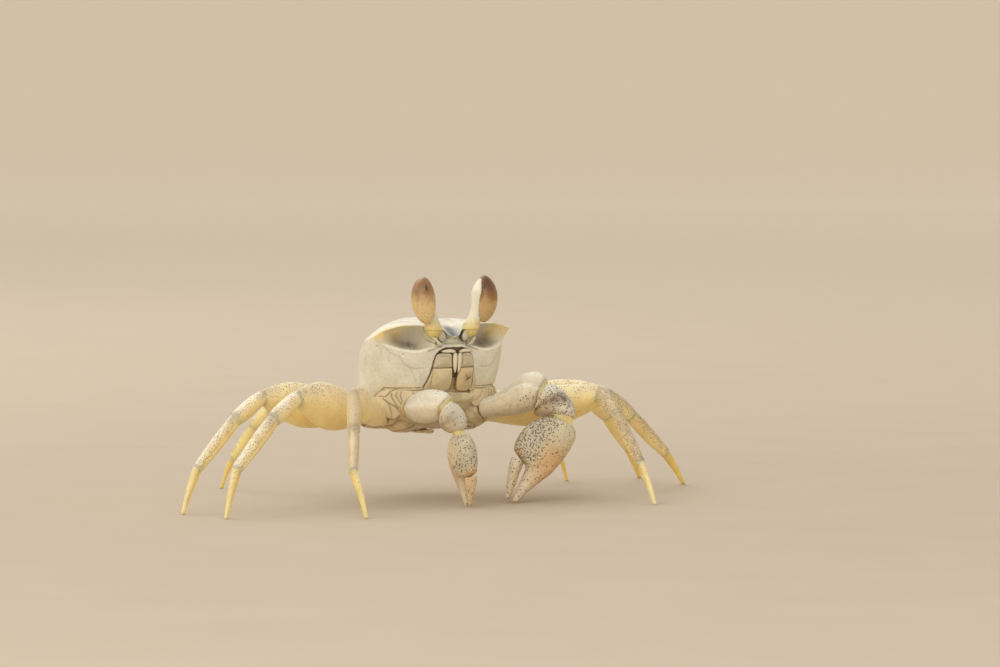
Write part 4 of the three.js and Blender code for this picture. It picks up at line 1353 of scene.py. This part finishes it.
def shell_group():
    """The finish all plates share: colour, roughness and height, from six colours and the size of pits."""
    tree = bpy.data.node_groups.new("shell_finish", "ShaderNodeTree")
    for label in COLOURS:
        tree.interface.new_socket(label, in_out="INPUT", socket_type="NodeSocketColor")
    for label in ("Pit Spacing", "Pit Reach"):
        tree.interface.new_socket(label, in_out="INPUT", socket_type="NodeSocketFloat")
    tree.interface.new_socket("Color", in_out="OUTPUT", socket_type="NodeSocketColor")
    for label in ("Roughness", "Height"):
        tree.interface.new_socket(label, in_out="OUTPUT", socket_type="NodeSocketFloat")
    given = tree.nodes.new("NodeGroupInput").outputs
    result = tree.nodes.new("NodeGroupOutput")
    where = node(tree, "TexCoord", {}).outputs["Object"]

    def product(a, b):
        return maths(tree, "MULTIPLY", a, b)

    def dots(finer, reach_share):
        """1 inside small round dots, which are as frequent as the mark pits says."""
        scale = product(given["Pit Spacing"], finer)
        cells = node(tree, "TexVoronoi", {"Vector": where, "Scale": scale}).outputs
        chance = node(tree, "SeparateColor", {0: cells["Color"]}).outputs
        wanted = ranged(tree, maths(tree, "SUBTRACT", mark(tree, "pits"), chance[0]), 0.0, 0.06)
        size = maths(tree, "ADD", product(chance[1], 0.6), reach_share)
        depth = maths(tree, "SUBTRACT", product(given["Pit Reach"], size), cells["Distance"])
        return product(ranged(tree, depth, 0.0, 0.10), wanted)

    colour = given["Base"]
    for label in ("Warm", "Lit", "Cool"):
        colour = mixed(tree, colour, given[label], mark(tree, label.lower()))
    broad = ranged(tree, noise(tree, where, 330, 3), 0.3, 0.7, 0.90, 1.06)
    fine = ranged(tree, noise(tree, where, 2600, 4), 0.3, 0.7, 0.93, 1.05)
    colour = mixed(tree, colour, product(broad, fine), 1.0, "MULTIPLY")
    # The stain colour is also the colour of painted shade in recesses and gaps.
    colour = mixed(tree, colour, given["Stain"], mark(tree, "stain"))
    pit = dots(1.0, 0.75)
    for dot, strength in ((dots(2.1, 0.55), 0.40), (pit, 0.82)):
        colour = mixed(tree, colour, given["Pit"], product(dot, strength))
    rough = ranged(tree, noise(tree, where, 900, 3), 0.3, 0.7, 0.35, 0.52)
    granular = product(maths(tree, "ADD", noise(tree, where, 3200, 5), noise(tree, where, 900, 3)), 0.5)
    height = maths(tree, "SUBTRACT", granular, product(pit, 0.9))
    feed(tree, result, {"Color": colour, "Roughness": rough, "Height": height})
    return tree


SHELL_GROUP = shell_group()
print("node group for shell with", len(SHELL_GROUP.nodes), "nodes")

# %% Shell materials


def shell_material(name, colours, glow, glow_depth, pit_spacing, pit_reach):
    """Translucent shell. Glow and glow_depth say how much light goes into it, and how deep in metres."""
    material, tree, shader = new_material(name)
    inputs = {label: srgb(*colour) for label, colour in zip(COLOURS, colours)}
    inputs |= {"Pit Spacing": pit_spacing, "Pit Reach": pit_reach}
    finish = node(tree, "Group", inputs, node_tree=SHELL_GROUP).outputs
    relief = node(tree, "Bump", {"Strength": 0.35, "Distance": 0.00012, "Height": finish["Height"]})
    feed(tree, shader, {
        "Base Color": finish["Color"], "Roughness": finish["Roughness"], "Normal": relief.outputs["Normal"],
        "Subsurface Weight": glow, "Subsurface Radius": (1.0, 0.80, 0.46), "Subsurface Scale": glow_depth,
        "Coat Weight": 0.12, "Coat Roughness": 0.35,
    })
    return material


FINISHES = {  # the six colours, then how much light goes in, how deep, and how fine and how wide the pits are
    "shell": (
        [(231, 226, 205), (248, 222, 146), (92, 101, 113), (244, 239, 220), (104, 70, 22), (74, 60, 42)],
        0.30, 0.0010, 3000.0, 0.40,
    ),
    "underside": (
        [(220, 204, 164), (226, 190, 122), (178, 174, 162), (232, 224, 200), (100, 62, 14), (70, 56, 40)],
        0.25, 0.0010, 2400.0, 0.40,
    ),
    "eyestalk": (
        [(236, 229, 202), (236, 212, 112), (190, 192, 180), (246, 242, 224), (120, 96, 60), (90, 70, 50)],
        0.40, 0.0012, 2400.0, 0.40,
    ),
    "feeler": (
        [(204, 196, 168), (220, 192, 128), (166, 166, 156), (226, 222, 204), (86, 60, 28), (90, 70, 50)],
        0.20, 0.0008, 2400.0, 0.40,
    ),
    "claw": (
        [(216, 202, 170), (224, 180, 124), (188, 178, 154), (240, 234, 216), (118, 86, 40), (72, 56, 40)],
        0.28, 0.0011, 3100.0, 0.46,
    ),
    "leg": (
        [(245, 231, 192), (254, 227, 146), (172, 142, 96), (246, 236, 216), (116, 86, 50), (114, 77, 32)],
        0.70, 0.0020, 3900.0, 0.37,
    ),
    "toe": (
        [(236, 219, 166), (242, 212, 126), (200, 180, 140), (238, 226, 190), (120, 90, 44), (110, 84, 44)],
        0.60, 0.0018, 3900.0, 0.34,
    ),
}
materials = {name: shell_material(name, *spec) for name, spec in FINISHES.items()}
print("shell finishes:", ", ".join(materials))

# %% [markdown]
# ## Cornea
# The cornea is smooth and glossy over a pattern of thousands of tiny facets. Its colour runs from pale amber
# below to dark brown above, and the slit is nearly black.

# %% Cornea material


def cornea_material():
    material, tree, shader = new_material("cornea")
    where = node(tree, "TexCoord", {}).outputs["Object"]
    colour = srgb(232, 206, 150)
    for label, deeper in (
        ("height", (212, 178, 122)), ("brown", (152, 108, 50)), ("dark", (98, 56, 8)), ("slit", (38, 26, 16)),
    ):
        colour = mixed(tree, colour, srgb(*deeper), mark(tree, label))
    speckle = ranged(tree, noise(tree, where, 2400, 4), 0.3, 0.7, 0.86, 1.08)
    facets = node(tree, "TexVoronoi", {"Vector": where, "Scale": 9000}).outputs["Distance"]
    relief = node(tree, "Bump", {"Strength": 0.12, "Distance": 0.00004, "Height": facets})
    feed(tree, shader, {
        "Base Color": mixed(tree, colour, speckle, 1.0, "MULTIPLY"), "Normal": relief.outputs["Normal"],
        "Roughness": 0.38, "Coat Weight": 0.30, "Coat Roughness": 0.12,
        "Subsurface Weight": 0.20, "Subsurface Radius": (1.0, 0.6, 0.25), "Subsurface Scale": 0.0012,
    })
    return material


materials["cornea"] = cornea_material()

# %% Give every piece its finish
for piece in pieces.values():
    piece.data.materials.append(materials[piece["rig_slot"]])


def floor_material():
    """Pale sand colour with a little mottle, paler far away."""
    material, tree, shader = new_material("pale_floor")
    where = node(tree, "TexCoord", {}).outputs["Object"]
    colour = mixed(tree, srgb(190, 174, 152), srgb(196, 181, 160), noise(tree, where, 40, 2))
    away = node(tree, "VectorMath", {0: where}, operation="LENGTH").outputs["Value"]
    colour = mixed(tree, colour, srgb(236, 220, 197), ranged(tree, away, 0.1, 1.8))
    feed(tree, shader, {"Base Color": colour, "Roughness": 0.9})
    return material


floor.data.materials.append(floor_material())
print("finished pieces:", len(pieces))

# %% [markdown]
# ## Size of the dressed crab
# The dressed crab should be as big as its solids. Both boxes are printed.

# %% Write the sizes
visual_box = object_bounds()
for axis, label in enumerate("xyz"):
    solid = CAD_BOX[1][axis] - CAD_BOX[0][axis]
    dressed = visual_box[1][axis] - visual_box[0][axis]
    print(label, "solids", round(solid / MM, 2), "mm, dressed", round(dressed / MM, 2), "mm")
print("triangles:", sum(len(piece.data.loop_triangles) for piece in pieces.values()))
